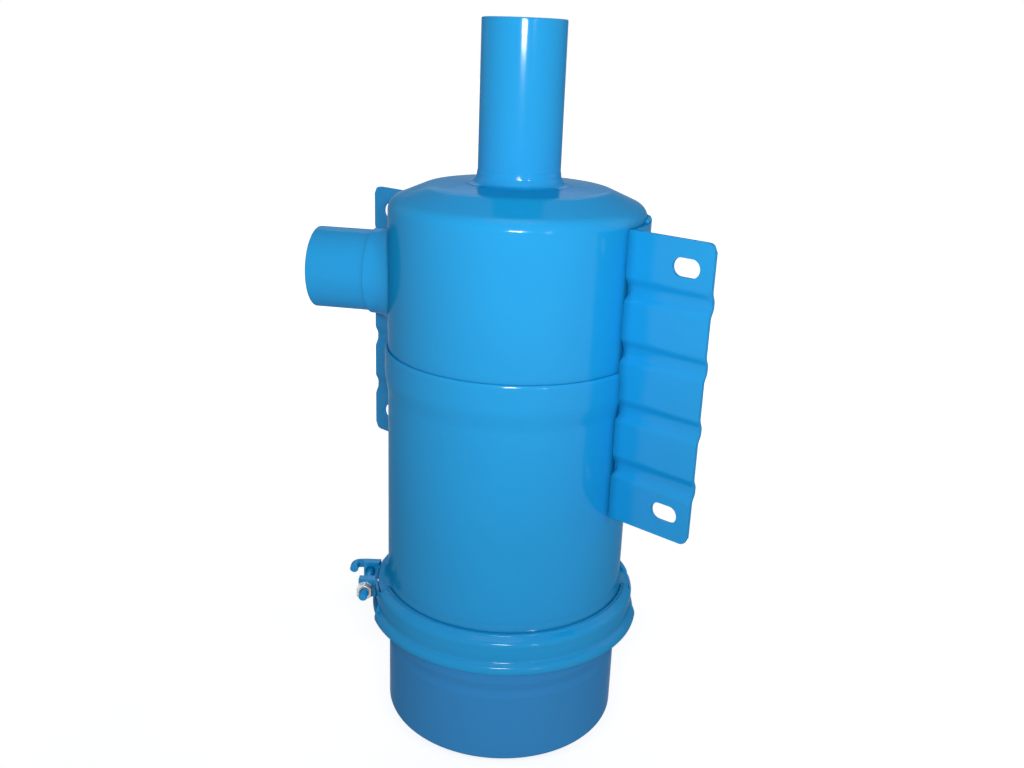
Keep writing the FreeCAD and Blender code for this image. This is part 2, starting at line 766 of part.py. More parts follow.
def make_lug(side, play):
    """Ear that stands on the strap, with a hole that is longer outwards by the play."""
    near = LUG_GAP / 2
    bottom = strap_middle() - LUG_HEIGHT / 2
    block = Part.makeBox(BOLT_LINE + LUG_REACH, LUG_THICKNESS, LUG_HEIGHT)
    block.translate(FreeCAD.Vector(0, near if side > 0 else -near - LUG_THICKNESS, bottom))
    block = block.cut(Part.makeCylinder(BAND_RADIUS + THREAD_GAP, 2 * FLARE_KNEE))
    for shift in (-play, play):
        start = closure_point(shift, side * (near - LUG_THICKNESS))
        end = closure_point(shift, side * (near + 2 * LUG_THICKNESS))
        block = block.cut(rod(BOLT_RADIUS + HOLE_GAP, start, end))
    return about_clamp(block)


def make_lug_weld(side):
    """Fillet weld at the root of a lug, inside the closure."""
    root = BAND_RADIUS + THREAD_GAP
    near = LUG_GAP / 2 - THREAD_GAP
    low, high = strap_limits()
    across = sqrt(root ** 2 - near ** 2)
    corners = [
        FreeCAD.Vector(across - LUG_WELD / 2, side * near, low),
        FreeCAD.Vector(across + LUG_WELD, side * near, low),
        FreeCAD.Vector(across - LUG_WELD / 2, side * (near - LUG_WELD), low),
    ]
    bead = Part.Face(Part.makePolygon(corners + corners[:1])).extrude(Z_AXIS * (high - low))
    return about_clamp(bead.cut(Part.makeCylinder(root, 2 * FLARE_KNEE)))


def make_hook_bolt():
    """Round rod: straight at the nut, bent outwards behind the far lug and hooked at its tip."""
    far_face = LUG_GAP / 2 + LUG_THICKNESS
    tail = far_face + WASHER_THICKNESS + NUT_HEIGHT + BOLT_TAIL
    arm = far_face + THREAD_GAP + HOOK_BEND
    path = [
        (tail, 0, 0),
        (-arm, 0, HOOK_BEND),
        (-arm, HOOK_ARM, HOOK_TIP_BEND),
        (-arm + HOOK_TIP_BEND + HOOK_TIP, HOOK_ARM, 0),
    ]
    wire = Part.Wire(path_edges(path, lambda along, out: closure_point(out, along)))
    end = Part.Wire(Part.makeCircle(BOLT_RADIUS, closure_point(0, tail), Y_AXIS))
    return about_clamp(wire.makePipeShell([end], True, False))


def bolt_hole(end):
    """Hole along the bolt's line from the closure's middle to beyond an end face."""
    return rod(BOLT_RADIUS + THREAD_GAP, closure_point(0, 0), closure_point(0, end + CUT_MARGIN))


def make_clamp_washer():
    start = LUG_GAP / 2 + LUG_THICKNESS
    disc = rod(WASHER_RADIUS, closure_point(0, start), closure_point(0, start + WASHER_THICKNESS))
    return about_clamp(disc.cut(bolt_hole(start + WASHER_THICKNESS)))


def make_clamp_nut():
    start = LUG_GAP / 2 + LUG_THICKNESS + WASHER_THICKNESS
    corner_radius = NUT_ACROSS_FLATS / 2 / cos(pi / 6)
    corners = []
    for index in range(6):
        angle = pi / 6 + index * pi / 3
        corners.append(closure_point(corner_radius * cos(angle), start, corner_radius * sin(angle)))
    hexagon = Part.Face(Part.makePolygon(corners + corners[:1])).extrude(Y_AXIS * NUT_HEIGHT)
    return about_clamp(hexagon.cut(bolt_hole(start + NUT_HEIGHT)))


def build_parts():
    """Every node's shape by name."""
    return {
        "head_shell": make_head_shell(),
        "intake_pipe": make_intake_pipe(),
        "intake_collar": make_intake_collar(),
        "centre_tube": make_centre_tube(),
        "outlet_pipe": make_outlet_pipe(),
        "outlet_collar": make_outlet_collar(),
        "body_shell": make_body_shell(),
        "bracket": make_bracket(),
        "bracket_welds": make_bracket_welds(),
        "upper_screen": make_upper_screen(),
        "gauze_pack": make_gauze_pack(),
        "lower_screen": make_lower_screen(),
        "screen_ring": make_screen_ring(),
        "cup_gasket": make_cup_gasket(),
        "element_can": make_element_can(),
        "element_sleeve": make_element_sleeve(),
        "element_floor_screen": make_element_floor_screen(),
        "element_top_screen": make_element_top_screen(),
        "element_gauze": make_element_gauze(),
        "oil_cup": make_oil_cup(),
        "inner_cup": make_inner_cup(),
        "clamp_band_front": make_band_half(1),
        "clamp_band_rear": make_band_half(-1),
        "clamp_lug_front": make_lug(1, SLOT_PLAY),
        "clamp_lug_rear": make_lug(-1, 0),
        "lug_weld_front": make_lug_weld(1),
        "lug_weld_rear": make_lug_weld(-1),
        "hook_bolt": make_hook_bolt(),
        "clamp_washer": make_clamp_washer(),
        "clamp_nut": make_clamp_nut(),
    }


os.makedirs("parts", exist_ok=True)
for name, shape in build_parts().items():
    solids = len(shape.Solids)
    if not shape.isValid() or not solids:
        raise RuntimeError(name + " did not build")
    shape.exportStep("parts/" + name + ".step")
    print(name, solids, "solid(s)", round(shape.Volume), "mm3")
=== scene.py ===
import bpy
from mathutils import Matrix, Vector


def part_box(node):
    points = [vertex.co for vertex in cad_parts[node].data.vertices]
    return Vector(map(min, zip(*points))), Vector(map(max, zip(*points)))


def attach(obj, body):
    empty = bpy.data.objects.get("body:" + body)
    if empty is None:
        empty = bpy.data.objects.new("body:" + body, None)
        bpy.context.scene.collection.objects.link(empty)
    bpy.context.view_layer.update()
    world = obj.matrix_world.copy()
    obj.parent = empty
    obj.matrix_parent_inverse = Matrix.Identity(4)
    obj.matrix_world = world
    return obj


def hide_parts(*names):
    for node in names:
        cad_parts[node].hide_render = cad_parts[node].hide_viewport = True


bl_info = {
    "name": "Oil-bath air cleaner",
    "version": (1, 0, 0),
    "blender": (4, 5, 0),
    "location": "3D View > Sidebar > Air cleaner",
    "description": "Dresses the packed air cleaner in enamel, pressed edges, welds and wire gauze",
    "category": "Object",
}

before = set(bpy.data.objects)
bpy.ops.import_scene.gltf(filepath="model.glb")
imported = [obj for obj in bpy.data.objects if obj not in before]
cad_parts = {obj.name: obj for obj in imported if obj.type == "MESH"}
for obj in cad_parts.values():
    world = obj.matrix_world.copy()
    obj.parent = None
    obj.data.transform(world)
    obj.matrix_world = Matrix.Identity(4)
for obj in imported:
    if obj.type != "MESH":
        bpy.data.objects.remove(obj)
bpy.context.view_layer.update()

from math import asin, atan2, cos, hypot, pi, radians, sin, sqrt, tan

import bmesh
import bpy
from mathutils import Matrix, Vector

MM = 0.001
FULL_TURN = 2 * pi
WELD_DISTANCE = 1e-6


# Sizes and finishes that a user may change

def length(name, value_mm, description):
    """A length property whose default is given in millimetres."""
    return bpy.props.FloatProperty(
        name=name, description=description, default=value_mm * MM, min=0.0,
        subtype="DISTANCE", unit="LENGTH", precision=5)


def colour(name, value, description):
    """A colour property."""
    return bpy.props.FloatVectorProperty(
        name=name, description=description, default=value, size=4, min=0.0, max=1.0, subtype="COLOR")


class CleanerSizes(bpy.types.PropertyGroup):
    """Sizes of the dressed pieces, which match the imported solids."""

    head_radius: length("Head radius", 80.0, "Outside radius of the domed head")
    head_sheet: length("Head sheet", 1.2, "Thickness of the head's sheet")
    head_foot: length("Head foot", 239.7, "Height of the head's lower edge")
    head_corner: length("Head corner", 351.6, "Height where the head's wall turns into its cone")
    crown_radius: length("Crown radius", 56.0, "Radius where the cone turns into the crown")
    crown_edge: length("Crown edge", 361.89, "Height of the crown's edge")
    body_radius: length("Body radius", 79.8, "Outside radius of the body shell")
    body_sheet: length("Body sheet", 1.4, "Thickness of the body's sheet")
    bell_radius: length("Bell radius", 81.8, "Outside radius of the bell that holds the head")
    shoulder: length("Shoulder", 240.0, "Height of the bell's lower end")
    bell_depth: length("Bell depth", 19.5, "Height of the bell")
    flare_knee: length("Flare knee", 95.5, "Height where the body turns out into its flange")
    floor_drop: length("Floor drop", 112.0, "Room between base and floor, in which the cup comes down")
    intake_radius: length("Intake radius", 25.4, "Outside radius of the intake pipe")
    intake_top: length("Intake top", 458.45, "Height of the intake pipe's mouth")
    collar_top: length("Collar top", 371.51, "Height of the intake collar's lip")
    outlet_radius: length("Outlet radius", 26.0, "Outside radius of the outlet pipe")
    outlet_step: length("Outlet step", 0.4, "How much narrower the outlet pipe is inside its collar")
    outlet_reach: length("Outlet reach", 130.0, "Distance from the axis to the outlet's mouth")
    outlet_level: length("Outlet level", 302.0, "Height of the outlet's axis")
    bracket_low: length("Bracket low", 163.5, "Height of the bracket's lower edge")
    bracket_high: length("Bracket high", 345.5, "Height of the bracket's upper edge")
    wing_reach: length("Wing reach", 137.0, "Distance from the axis to a wing's edge")
    wing_setback: length("Wing setback", 5.0, "Distance of the wings' front faces behind the axis")
    groove_depth: length("Groove depth", 2.4, "Depth of the bracket's pressed grooves")
    cup_radius: length("Cup radius", 79.0, "Outside radius of the oil cup")
    cup_sheet: length("Cup sheet", 1.2, "Thickness of the oil cup's sheet")
    cup_depth: length("Cup depth", 84.0, "Height of the oil cup's rim")
    bead_radius: length("Bead radius", 87.4, "Radius of the rolled bead's centre line")
    bead_size: length("Bead size", 3.2, "Radius of the rolled bead's section")
    bead_height: length("Bead height", 75.6, "Height of the rolled bead's centre")
    band_radius: length("Band radius", 88.7, "Outside radius of the clamp's strap")
    band_sheet: length("Band sheet", 1.5, "Thickness of the clamp's strap")
    bolt_line: length("Bolt line", 94.5, "Distance from the vessel's axis to the hook bolt")
    strap_height: length("Strap level", 86.3, "Height of the strap's middle and of the hook bolt")
    bolt_radius: length("Bolt radius", 3.0, "Radius of the hook bolt")
    weld_ripple: length("Weld ripple", 1.5, "Distance between a weld's ripples")


class CleanerFinish(bpy.types.PropertyGroup):
    """Colours of the finishes."""

    enamel: colour("Enamel", (0.011, 0.380, 0.830, 1.0), "Light blue of the head, body and bracket")
    band_enamel: colour("Band enamel", (0.008, 0.380, 0.820, 1.0), "Blue of the clamp")
    cup_enamel: colour("Cup enamel", (0.026, 0.305, 0.730, 1.0), "Deeper blue of the oil cup")
    steel: colour("Sheet steel", (0.46, 0.47, 0.48, 1.0), "Unpainted sheet inside the vessel")
    wire: colour("Wire", (0.50, 0.50, 0.49, 1.0), "Knitted wire of the gauze")
    zinc: colour("Zinc", (0.62, 0.64, 0.66, 1.0), "Plated nut and washer")
    rubber: colour("Rubber", (0.012, 0.012, 0.013, 1.0), "Cup gasket")
    floor: colour("Floor", (0.90, 0.90, 0.90, 1.0), "Studio floor")


# Sections

def rounded(path, steps=8):
    """Points along a path of (across, height, bend radius) corners, with its bends drawn as arcs."""
    points = []
    for index, (across, height, bend) in enumerate(path):
        here = Vector((across, height))
        if bend == 0 or index in (0, len(path) - 1):
            points.append(here)
            continue
        before = (here - Vector(path[index - 1][:2])).normalized()
        after = (Vector(path[index + 1][:2]) - here).normalized()
        turn = atan2(before.x * after.y - before.y * after.x, before.dot(after))
        start = here - before * bend * tan(abs(turn) / 2)
        centre = here + (after - before).normalized() * bend / cos(turn / 2)
        for step in range(steps + 1):
            points.append(centre + Matrix.Rotation(turn * step / steps, 2) @ (start - centre))
    return points


def shifted(path, distance):
    """The path moved to its left, with its bends about the same centres."""
    moved = []
    last = len(path) - 1
    for index, (across, height, bend) in enumerate(path):
        before = (Vector(path[max(index, 1)][:2]) - Vector(path[max(index - 1, 0)][:2])).normalized()
        after = (Vector(path[min(index + 1, last)][:2]) - Vector(path[min(index, last - 1)][:2])).normalized()
        turn = atan2(before.x * after.y - before.y * after.x, before.dot(after))
        stretch = distance / (1 + cos(turn))
        change = distance if turn < 0 else -distance
        moved.append((across - (before.y + after.y) * stretch, height + (before.x + after.x) * stretch,
                      max(bend + change, 0) if bend else 0))
    return moved


def soft_edge(outer, outer_before, inner, steps=6):
    """Half-round end of a sheet between its two skins."""
    middle = (outer + inner) / 2
    spoke = outer - middle
    ahead = (outer - outer_before).normalized() * spoke.length
    return [middle - ahead + spoke * cos(pi * step / steps) + ahead * sin(pi * step / steps)
            for step in range(steps + 1)]


def sheet_outline(path, thickness, steps=8):
    """Closed outline of a sheet with soft ends, whose skin follows the path."""
    outer = rounded(path, steps)
    inner = rounded(shifted(path, thickness), steps)
    end = soft_edge(outer[-1], outer[-2], inner[-1])
    start = soft_edge(inner[0], inner[1], outer[0])
    return outer[1:-1] + end + inner[-2:0:-1] + start


def circle_outline(across, height, radius, steps=28):
    """Closed round outline."""
    turns = [FULL_TURN * step / steps for step in range(steps)]
    return [Vector((across + radius * cos(turn), height + radius * sin(turn))) for turn in turns]


# Node trees

class TreeMaker:
    """Short way to add linked nodes to a tree."""

    def __init__(self, tree):
        self.tree = tree
        tree.nodes.clear()

    def add(self, kind, settings=None, **sockets):
        """New node. Sockets are named with _ for a space, or at0, at1 and so on for their place."""
        node = self.tree.nodes.new(kind)
        for key, value in (settings or {}).items():
            setattr(node, key, value)
        for key, value in sockets.items():
            place = int(key[2:]) if key.startswith("at") else key.replace("_", " ")
            self.feed(node.inputs[place], value)
        return node

    def feed(self, socket, value):
        if isinstance(value, bpy.types.NodeSocket):
            self.tree.links.new(value, socket)
        else:
            socket.default_value = value

    def math(self, operation, *values):
        node = self.add("ShaderNodeMath", {"operation": operation})
        for index, value in enumerate(values):
            self.feed(node.inputs[index], value)
        return node.outputs[0]


def node_tree(name):
    """Geometry node tree that ends in real geometry with its material, made the first time it is asked for."""
    if name in bpy.data.node_groups:
        return bpy.data.node_groups[name]
    fill, inputs = TREES[name]
    tree = bpy.data.node_groups.new(name, "GeometryNodeTree")
    tree.interface.new_socket("Geometry", in_out="INPUT", socket_type="NodeSocketGeometry")
    for label, kind in {**inputs, "Material": "Material"}.items():
        tree.interface.new_socket(label, in_out="INPUT", socket_type="NodeSocket" + kind)
    tree.interface.new_socket("Geometry", in_out="OUTPUT", socket_type="NodeSocketGeometry")
    make = TreeMaker(tree)
    given = make.add("NodeGroupInput").outputs
    real = make.add("GeometryNodeRealizeInstances", Geometry=fill(make, given)).outputs[0]
    painted = make.add("GeometryNodeSetMaterial", Geometry=real, Material=given["Material"]).outputs[0]
    tree.links.new(painted, make.add("NodeGroupOutput").inputs[0])
    return tree


def turning_nodes(make, given):
    """Turn a flat closed outline about the vessel's axis, from a start angle through a sweep."""
    line = make.add("GeometryNodeCurvePrimitiveLine", End=(0, 0, 1)).outputs[0]
    rail = make.add("GeometryNodeResampleCurve", Curve=line, Count=given["Steps"]).outputs[0]
    outline = make.add("GeometryNodeMeshToCurve", Mesh=given["Geometry"]).outputs[0]
    partial = make.add("FunctionNodeCompare", {"data_type": "FLOAT", "operation": "LESS_THAN"},
                       at0=given["Sweep"], at1=FULL_TURN - 0.001).outputs[0]
    swept = make.add("GeometryNodeCurveToMesh", Curve=rail, Profile_Curve=outline, Fill_Caps=partial).outputs[0]
    position = make.add("GeometryNodeInputPosition").outputs[0]
    place = make.add("ShaderNodeSeparateXYZ", Vector=position).outputs
    angle = make.math("MULTIPLY_ADD", place["Z"], given["Sweep"], given["Start"])
    along_x = make.math("MULTIPLY", place["X"], make.math("COSINE", angle))
    along_y = make.math("MULTIPLY", place["X"], make.math("SINE", angle))
    wrapped = make.add("ShaderNodeCombineXYZ", X=along_x, Y=along_y, Z=place["Y"]).outputs[0]
    bent = make.add("GeometryNodeSetPosition", Geometry=swept, Position=wrapped).outputs[0]
    joined = make.add("GeometryNodeMergeByDistance", Geometry=bent, Distance=WELD_DISTANCE).outputs[0]
    return make.add("GeometryNodeFlipFaces", Mesh=joined).outputs[0]


def weld_nodes(make, given):
    """Overlapping ripples of weld metal along each edge of the given mesh."""
    rail = make.add("GeometryNodeMeshToCurve", Mesh=given["Geometry"]).outputs[0]
    spots = make.add("GeometryNodeCurveToPoints", {"mode": "LENGTH"}, Curve=rail, Length=given["Pitch"])
    ripple = make.add("GeometryNodeMeshUVSphere", Segments=14, Rings=9, Radius=1.0).outputs[0]
    jitter = make.add("FunctionNodeRandomValue", {"data_type": "FLOAT"}, Seed=given["Seed"], at2=0.88, at3=1.12)
    size = make.math("MULTIPLY", given["Size"], jitter.outputs[1])
    shape = make.add("ShaderNodeCombineXYZ", X=size, Y=size, Z=make.math("MULTIPLY", size, 0.62)).outputs[0]
    return make.add("GeometryNodeInstanceOnPoints", Points=spots.outputs["Points"], Instance=ripple,
                    Rotation=spots.outputs["Rotation"], Scale=shape).outputs[0]


def wire_nodes(make, given):
    """Crumpled loops of wire scattered over the given faces."""
    seed = given["Seed"]
    spots = make.add("GeometryNodeDistributePointsOnFaces", Mesh=given["Geometry"], Density=given["Density"],
                     Seed=seed)
    ring = make.add("GeometryNodeCurvePrimitiveCircle", Resolution=12, Radius=given["Loop"]).outputs[0]
    section = make.add("GeometryNodeCurvePrimitiveCircle", Resolution=4, Radius=given["Wire"]).outputs[0]
    loop = make.add("GeometryNodeCurveToMesh", Curve=ring, Profile_Curve=section).outputs[0]
    tilt = make.add("FunctionNodeRandomValue", {"data_type": "FLOAT_VECTOR"}, Seed=seed,
                    at0=(-0.5, -0.5, 0.0), at1=(0.5, 0.5, 6.28))
    grow = make.add("FunctionNodeRandomValue", {"data_type": "FLOAT_VECTOR"}, Seed=make.math("ADD", seed, 1),
                    at0=(0.6, 0.8, 1.0), at1=(1.2, 1.5, 1.0))
    return make.add("GeometryNodeInstanceOnPoints", Points=spots.outputs[0], Instance=loop,
                    Rotation=tilt.outputs[0], Scale=grow.outputs[0]).outputs[0]


TREES = {
    "Turned sheet": (turning_nodes, {"Steps": "Int", "Start": "Float", "Sweep": "Float"}),
    "Weld ripples": (weld_nodes, {"Pitch": "Float", "Size": "Float", "Seed": "Int"}),
    "Knitted wire": (wire_nodes, {"Density": "Float", "Loop": "Float", "Wire": "Float", "Seed": "Int"}),
}


def grown(name, mesh, tree_name, slot, **values):
    """Plain mesh object that a node tree makes from a mesh."""
    seed = bpy.data.objects.new(name + "_seed", mesh)
    bpy.context.scene.collection.objects.link(seed)
    modifier = seed.modifiers.new(name, "NODES")
    modifier.node_group = node_tree(tree_name)
    values["Material"] = finish(slot)
    for item in modifier.node_group.interface.items_tree:
        if item.in_out == "INPUT" and item.name in values:
            modifier[item.identifier] = values[item.name]
    bpy.context.view_layer.update()
    evaluated = seed.evaluated_get(bpy.context.evaluated_depsgraph_get())
    made = bpy.data.meshes.new_from_object(evaluated)
    seed.modifiers.clear()
    bpy.data.objects.remove(seed)
    return new_object(name, made)


def new_object(name, mesh):
    mesh.name = name
    obj = bpy.data.objects.new(name, mesh)
    bpy.context.scene.collection.objects.link(obj)
    return obj


def built(name, bm, slot=None):
    """Object with a bmesh's faces, which are turned outwards."""
    bmesh.ops.recalc_face_normals(bm, faces=bm.faces)
    mesh = bpy.data.meshes.new(name)
    bm.to_mesh(mesh)
    bm.free()
    if slot:
        mesh.materials.append(finish(slot))
    return new_object(name, mesh)


def join_rings(bm, rings):
    """Faces between neighbouring closed rings of points."""
    for first, second in zip(rings, rings[1:]):
        for index in range(len(first)):
            after = (index + 1) % len(first)
            bm.faces.new((first[index], first[after], second[after], second[index]))


def smooth(obj, angle=32):
    """Smooth shading, with edges sharper than the angle kept crisp."""
    obj.data.shade_smooth()
    obj.data.set_sharp_from_angle(angle=radians(angle))
    return obj


def bevelled(obj, width, angle, segments=2):
    """Round the edges that are sharper than the angle."""
    bevel = obj.modifiers.new("edge", "BEVEL")
    bevel.width = width
    bevel.segments = segments
    bevel.limit_method = "ANGLE"
    bevel.angle_limit = radians(angle)
    return obj


def clamped(share):
    return min(max(share, 0.0), 1.0)


def eased(share):
    """The share kept in 0..1, with a soft start and end."""
    share = clamped(share)
    return share * share * (3 - 2 * share)


def fitted(obj, body, nodes):
    """Let a piece ride on its body in place of the solids it dresses."""
    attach(obj, body)
    if nodes:
        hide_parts(*nodes)
    return obj


def held(outline, near=0.3 * MM):
    """The closed outline with points near the ends of its long straights, so that these shade straight."""
    points = []
    for here, after in zip(outline, outline[1:] + outline[:1]):
        points.append(here)
        span = hypot(after[0] - here[0], after[1] - here[1])
        if span > 6 * near:
            points += [here.lerp(after, share) for share in (near / span, 1 - near / span)]
    return points


def turned(name, outlines, slot, steps=193):
    """Piece whose closed outlines, in metres, are turned about the vessel's axis."""
    points = []
    edges = []
    for outline in outlines:
        first = len(points)
        area = sum(a.x * b.y - b.x * a.y for a, b in zip(outline, outline[1:] + outline[:1]))
        ordered = held(outline if area > 0 else outline[::-1])
        points += [(p.x, p.y, 0) for p in ordered]
        edges += [(first + index, first + (index + 1) % len(ordered)) for index in range(len(ordered))]
    mesh = bpy.data.meshes.new(name)
    mesh.from_pydata(points, edges, [])
    return smooth(grown(name, mesh, "Turned sheet", slot, Steps=steps, Start=0.0, Sweep=FULL_TURN))


def cut(obj, cutter):
    """Take a cutter, which is then removed, out of a piece."""
    modifier = obj.modifiers.new("cut", "BOOLEAN")
    modifier.operation = "DIFFERENCE"
    modifier.solver = "EXACT"
    modifier.object = cutter
    bpy.context.view_layer.update()
    mesh = bpy.data.meshes.new_from_object(obj.evaluated_get(bpy.context.evaluated_depsgraph_get()))
    obj.modifiers.clear()
    old = obj.data
    obj.data = mesh
    bpy.data.meshes.remove(old)
    bpy.data.objects.remove(cutter)


def cylinder(name, radius, start, end, segments):
    """Closed cylinder between two points."""
    bm = bmesh.new()
    span = end - start
    place = Matrix.Translation((start + end) / 2) @ span.to_track_quat("Z", "Y").to_matrix().to_4x4()
    bmesh.ops.create_cone(bm, cap_ends=True, segments=segments, radius1=radius, radius2=radius,
                          depth=span.length, matrix=place)
    return built(name, bm)


# Finishes

def coordinates(make):
    return make.add("ShaderNodeTexCoord").outputs["Object"]


def noise(make, scale, detail=3.0, roughness=0.5):
    return make.add("ShaderNodeTexNoise", Vector=coordinates(make), Scale=scale, Detail=detail,
                    Roughness=roughness).outputs[0]


def ramp(make, value, low, high, start, end):
    """A value mapped from low..high to start..end."""
    return make.add("ShaderNodeMapRange", Value=value, From_Min=low, From_Max=high,
                    To_Min=start, To_Max=end).outputs[0]


def mixed(make, amount, first, second):
    """Colour mixed from first to second by an amount."""
    node = make.add("ShaderNodeMix", {"data_type": "RGBA"})
    make.feed(node.inputs["Factor"], amount)
    make.feed(node.inputs["A"], first)
    make.feed(node.inputs["B"], second)
    return node.outputs["Result"]


def new_finish(name):
    material = bpy.data.materials.new(name)
    material.use_nodes = True
    return material, TreeMaker(material.node_tree)


def shade(material, make, base, roughness, bump, **steady):
    """End a finish in its shader. Steady values are set on the shader itself."""
    shader = make.add("ShaderNodeBsdfPrincipled", Base_Color=base, Roughness=roughness, Normal=bump, **steady)
    make.tree.links.new(shader.outputs[0], make.add("ShaderNodeOutputMaterial").inputs[0])
    return material


def bumps(make, layers):
    """Bump of (height, strength, distance in millimetres) layers, coarse first."""
    normal = None
    for height, strength, depth in layers:
        node = make.add("ShaderNodeBump", Height=height, Strength=strength, Distance=depth * MM)
        if normal:
            make.feed(node.inputs["Normal"], normal)
        normal = node.outputs[0]
    return normal


def darker(tint, share):
    return (tint[0] * share, tint[1] * share, tint[2] * share, 1.0)


def enamel_finish(name, tint):
    """Sprayed gloss enamel: orange peel, slow tone changes, dull specks and painted shade in corners."""
    material, make = new_finish(name)
    tint = tuple(tint)
    cloud = noise(make, 9.0, 2.0)
    base = mixed(make, ramp(make, cloud, 0.35, 0.65, 0.0, 1.0), darker(tint, 0.95), tint)
    # Painted shade: ambient occlusion darkens the paint colour in corners and creases, where shade falls.
    corner = make.add("ShaderNodeAmbientOcclusion", {"samples": 6}, Distance=7 * MM).outputs["AO"]
    base = mixed(make, ramp(make, corner, 0.45, 0.95, 0.0, 1.0), darker(tint, 0.62), base)
    dust = ramp(make, noise(make, 420.0, 4.0, 0.7), 0.60, 0.74, 0.0, 1.0)
    base = mixed(make, make.math("MULTIPLY", dust, 0.08), base, (0.10, 0.50, 0.86, 1.0))
    dull = ramp(make, noise(make, 30.0), 0.3, 0.7, 0.20, 0.27)
    roughness = make.math("ADD", dull, make.math("MULTIPLY", dust, 0.10))
    peel = noise(make, 520.0, 1.5)
    waves = noise(make, 55.0, 1.0)
    grit = ramp(make, noise(make, 900.0, 2.0, 0.6), 0.66, 0.80, 0.0, 1.0)
    normal = bumps(make, [(waves, 0.35, 0.10), (peel, 0.22, 0.05), (grit, 0.25, 0.05)])
    return shade(material, make, base, roughness, normal, Coat_Weight=0.05, Coat_Roughness=0.125, Coat_IOR=4.0,
                 Specular_IOR_Level=0.05, IOR=1.05)


def steel_finish(name, tint, metallic=0.9, grain=1.0):
    """Plain sheet steel with rolling marks and a thin film of old oil."""
    material, make = new_finish(name)
    tint = tuple(tint)
    stretched = make.add("ShaderNodeMapping", Vector=coordinates(make), Scale=(40.0, 40.0, 900.0)).outputs[0]
    marks = make.add("ShaderNodeTexNoise", Vector=stretched, Scale=1.0, Detail=3.0).outputs[0]
    stain = ramp(make, noise(make, 26.0, 4.0, 0.6), 0.45, 0.70, 0.0, 1.0)
    oily = tuple(part * share for part, share in zip(tint, (0.62, 0.55, 0.45, 1.0)))
    base = mixed(make, stain, tint, oily)
    roughness = make.math("ADD", ramp(make, marks, 0.3, 0.7, 0.26, 0.42), make.math("MULTIPLY", stain, 0.12))
    normal = bumps(make, [(marks, 0.20 * grain, 0.03), (noise(make, 260.0), 0.15, 0.04)])
    return shade(material, make, base, roughness, normal, Metallic=metallic)


def rubber_finish(name, tint):
    """Moulded rubber with a dry, faintly grained skin."""
    material, make = new_finish(name)
    tint = tuple(tint)
    bloom = ramp(make, noise(make, 60.0, 4.0), 0.45, 0.7, 0.0, 0.5)
    base = mixed(make, bloom, tint, (0.05, 0.05, 0.05, 1.0))
    normal = bumps(make, [(noise(make, 900.0, 2.0), 0.35, 0.05)])
    return shade(material, make, base, ramp(make, bloom, 0.0, 0.5, 0.55, 0.75), normal)


def finish(kind):
    """The finish of one kind, made the first time it is asked for."""
    colours = bpy.context.scene.cleaner_finish
    name = "detailed_" + kind
    if name in bpy.data.materials:
        return bpy.data.materials[name]
    makers = {
        "light_enamel": lambda: enamel_finish(name, colours.enamel),
        "clamp_enamel": lambda: enamel_finish(name, colours.band_enamel),
        "cup_enamel": lambda: enamel_finish(name, colours.cup_enamel),
        "inner_steel": lambda: steel_finish(name, colours.steel),
        "wire_gauze": lambda: steel_finish(name, colours.wire, grain=3.0),
        "zinc": lambda: steel_finish(name, colours.zinc, metallic=1.0),
        "rubber": lambda: rubber_finish(name, colours.rubber),
    }
    return makers[kind]()


# Head, body and pipes

OUTLET_AZIMUTH = radians(-149.5)
CROWN_SLOPE = radians(3.0)
CROWN_HOLE = 25.15 * MM
LIP_HEIGHT, LIP_STEPS, LIP_CURL = 3.2 * MM, 8, 11 * MM
BELL_BEND, FLARE_BEND = 24 * MM, 12 * MM
FLANGE_WIDTH, FLANGE_SLOPE = 6.2 * MM, radians(26)
FIT = 0.05 * MM
INTAKE_WALL, INTAKE_STEP, INTAKE_REACH = 1.6 * MM, 0.4 * MM, 14 * MM
COLLAR_FOOT, COLLAR_LIFT = 7.5 * MM, 0.03 * MM
OUTLET_WALL, OUTLET_INNER_END = 1.5 * MM, 77.2 * MM
OUTLET_COLLAR_WALL, OUTLET_COLLAR_LENGTH, OUTLET_FLARE = 1.8 * MM, 12 * MM, 4.5 * MM


def crown_height(sizes, radius):
    return sizes.crown_edge + (sizes.crown_radius - radius) * tan(CROWN_SLOPE)


def outlet_direction():
    return Vector((cos(OUTLET_AZIMUTH), sin(OUTLET_AZIMUTH), 0))


def outlet_cutter(sizes, radius):
    level = Vector((0, 0, sizes.outlet_level))
    return cylinder("outlet_cutter", radius, level, level + outlet_direction() * sizes.outlet_reach, 128)


def make_head(sizes):
    path = [
        (sizes.head_radius, sizes.head_foot, 0),
        (sizes.head_radius, sizes.head_corner, 9 * MM),
        (sizes.crown_radius, sizes.crown_edge, 18 * MM),
        (CROWN_HOLE, crown_height(sizes, CROWN_HOLE), 0),
    ]
    head = turned("head_skin", [sheet_outline(path, sizes.head_sheet, 12)], "light_enamel", steps=257)
    cut(head, outlet_cutter(sizes, sizes.outlet_radius - sizes.outlet_step + 3 * FIT))
    return fitted(smooth(head), "head", ["head_shell"])


def body_path(sizes):
    """Outer skin of the body, from the bell's curled lip down to the flange's edge."""
    foot = sizes.shoulder + sizes.bell_depth - LIP_HEIGHT
    rises = [LIP_HEIGHT * step / LIP_STEPS for step in range(LIP_STEPS, 0, -1)]
    return [(sizes.bell_radius - rise ** 2 / LIP_CURL, foot + rise, 0) for rise in rises] + [
        (sizes.bell_radius, sizes.shoulder + 1 * MM, BELL_BEND),
        (sizes.body_radius, sizes.shoulder - 9 * MM, BELL_BEND),
        (sizes.body_radius, sizes.flare_knee, FLARE_BEND),
        (sizes.body_radius + FLANGE_WIDTH, sizes.flare_knee - FLANGE_WIDTH * tan(FLANGE_SLOPE), 0),
    ]


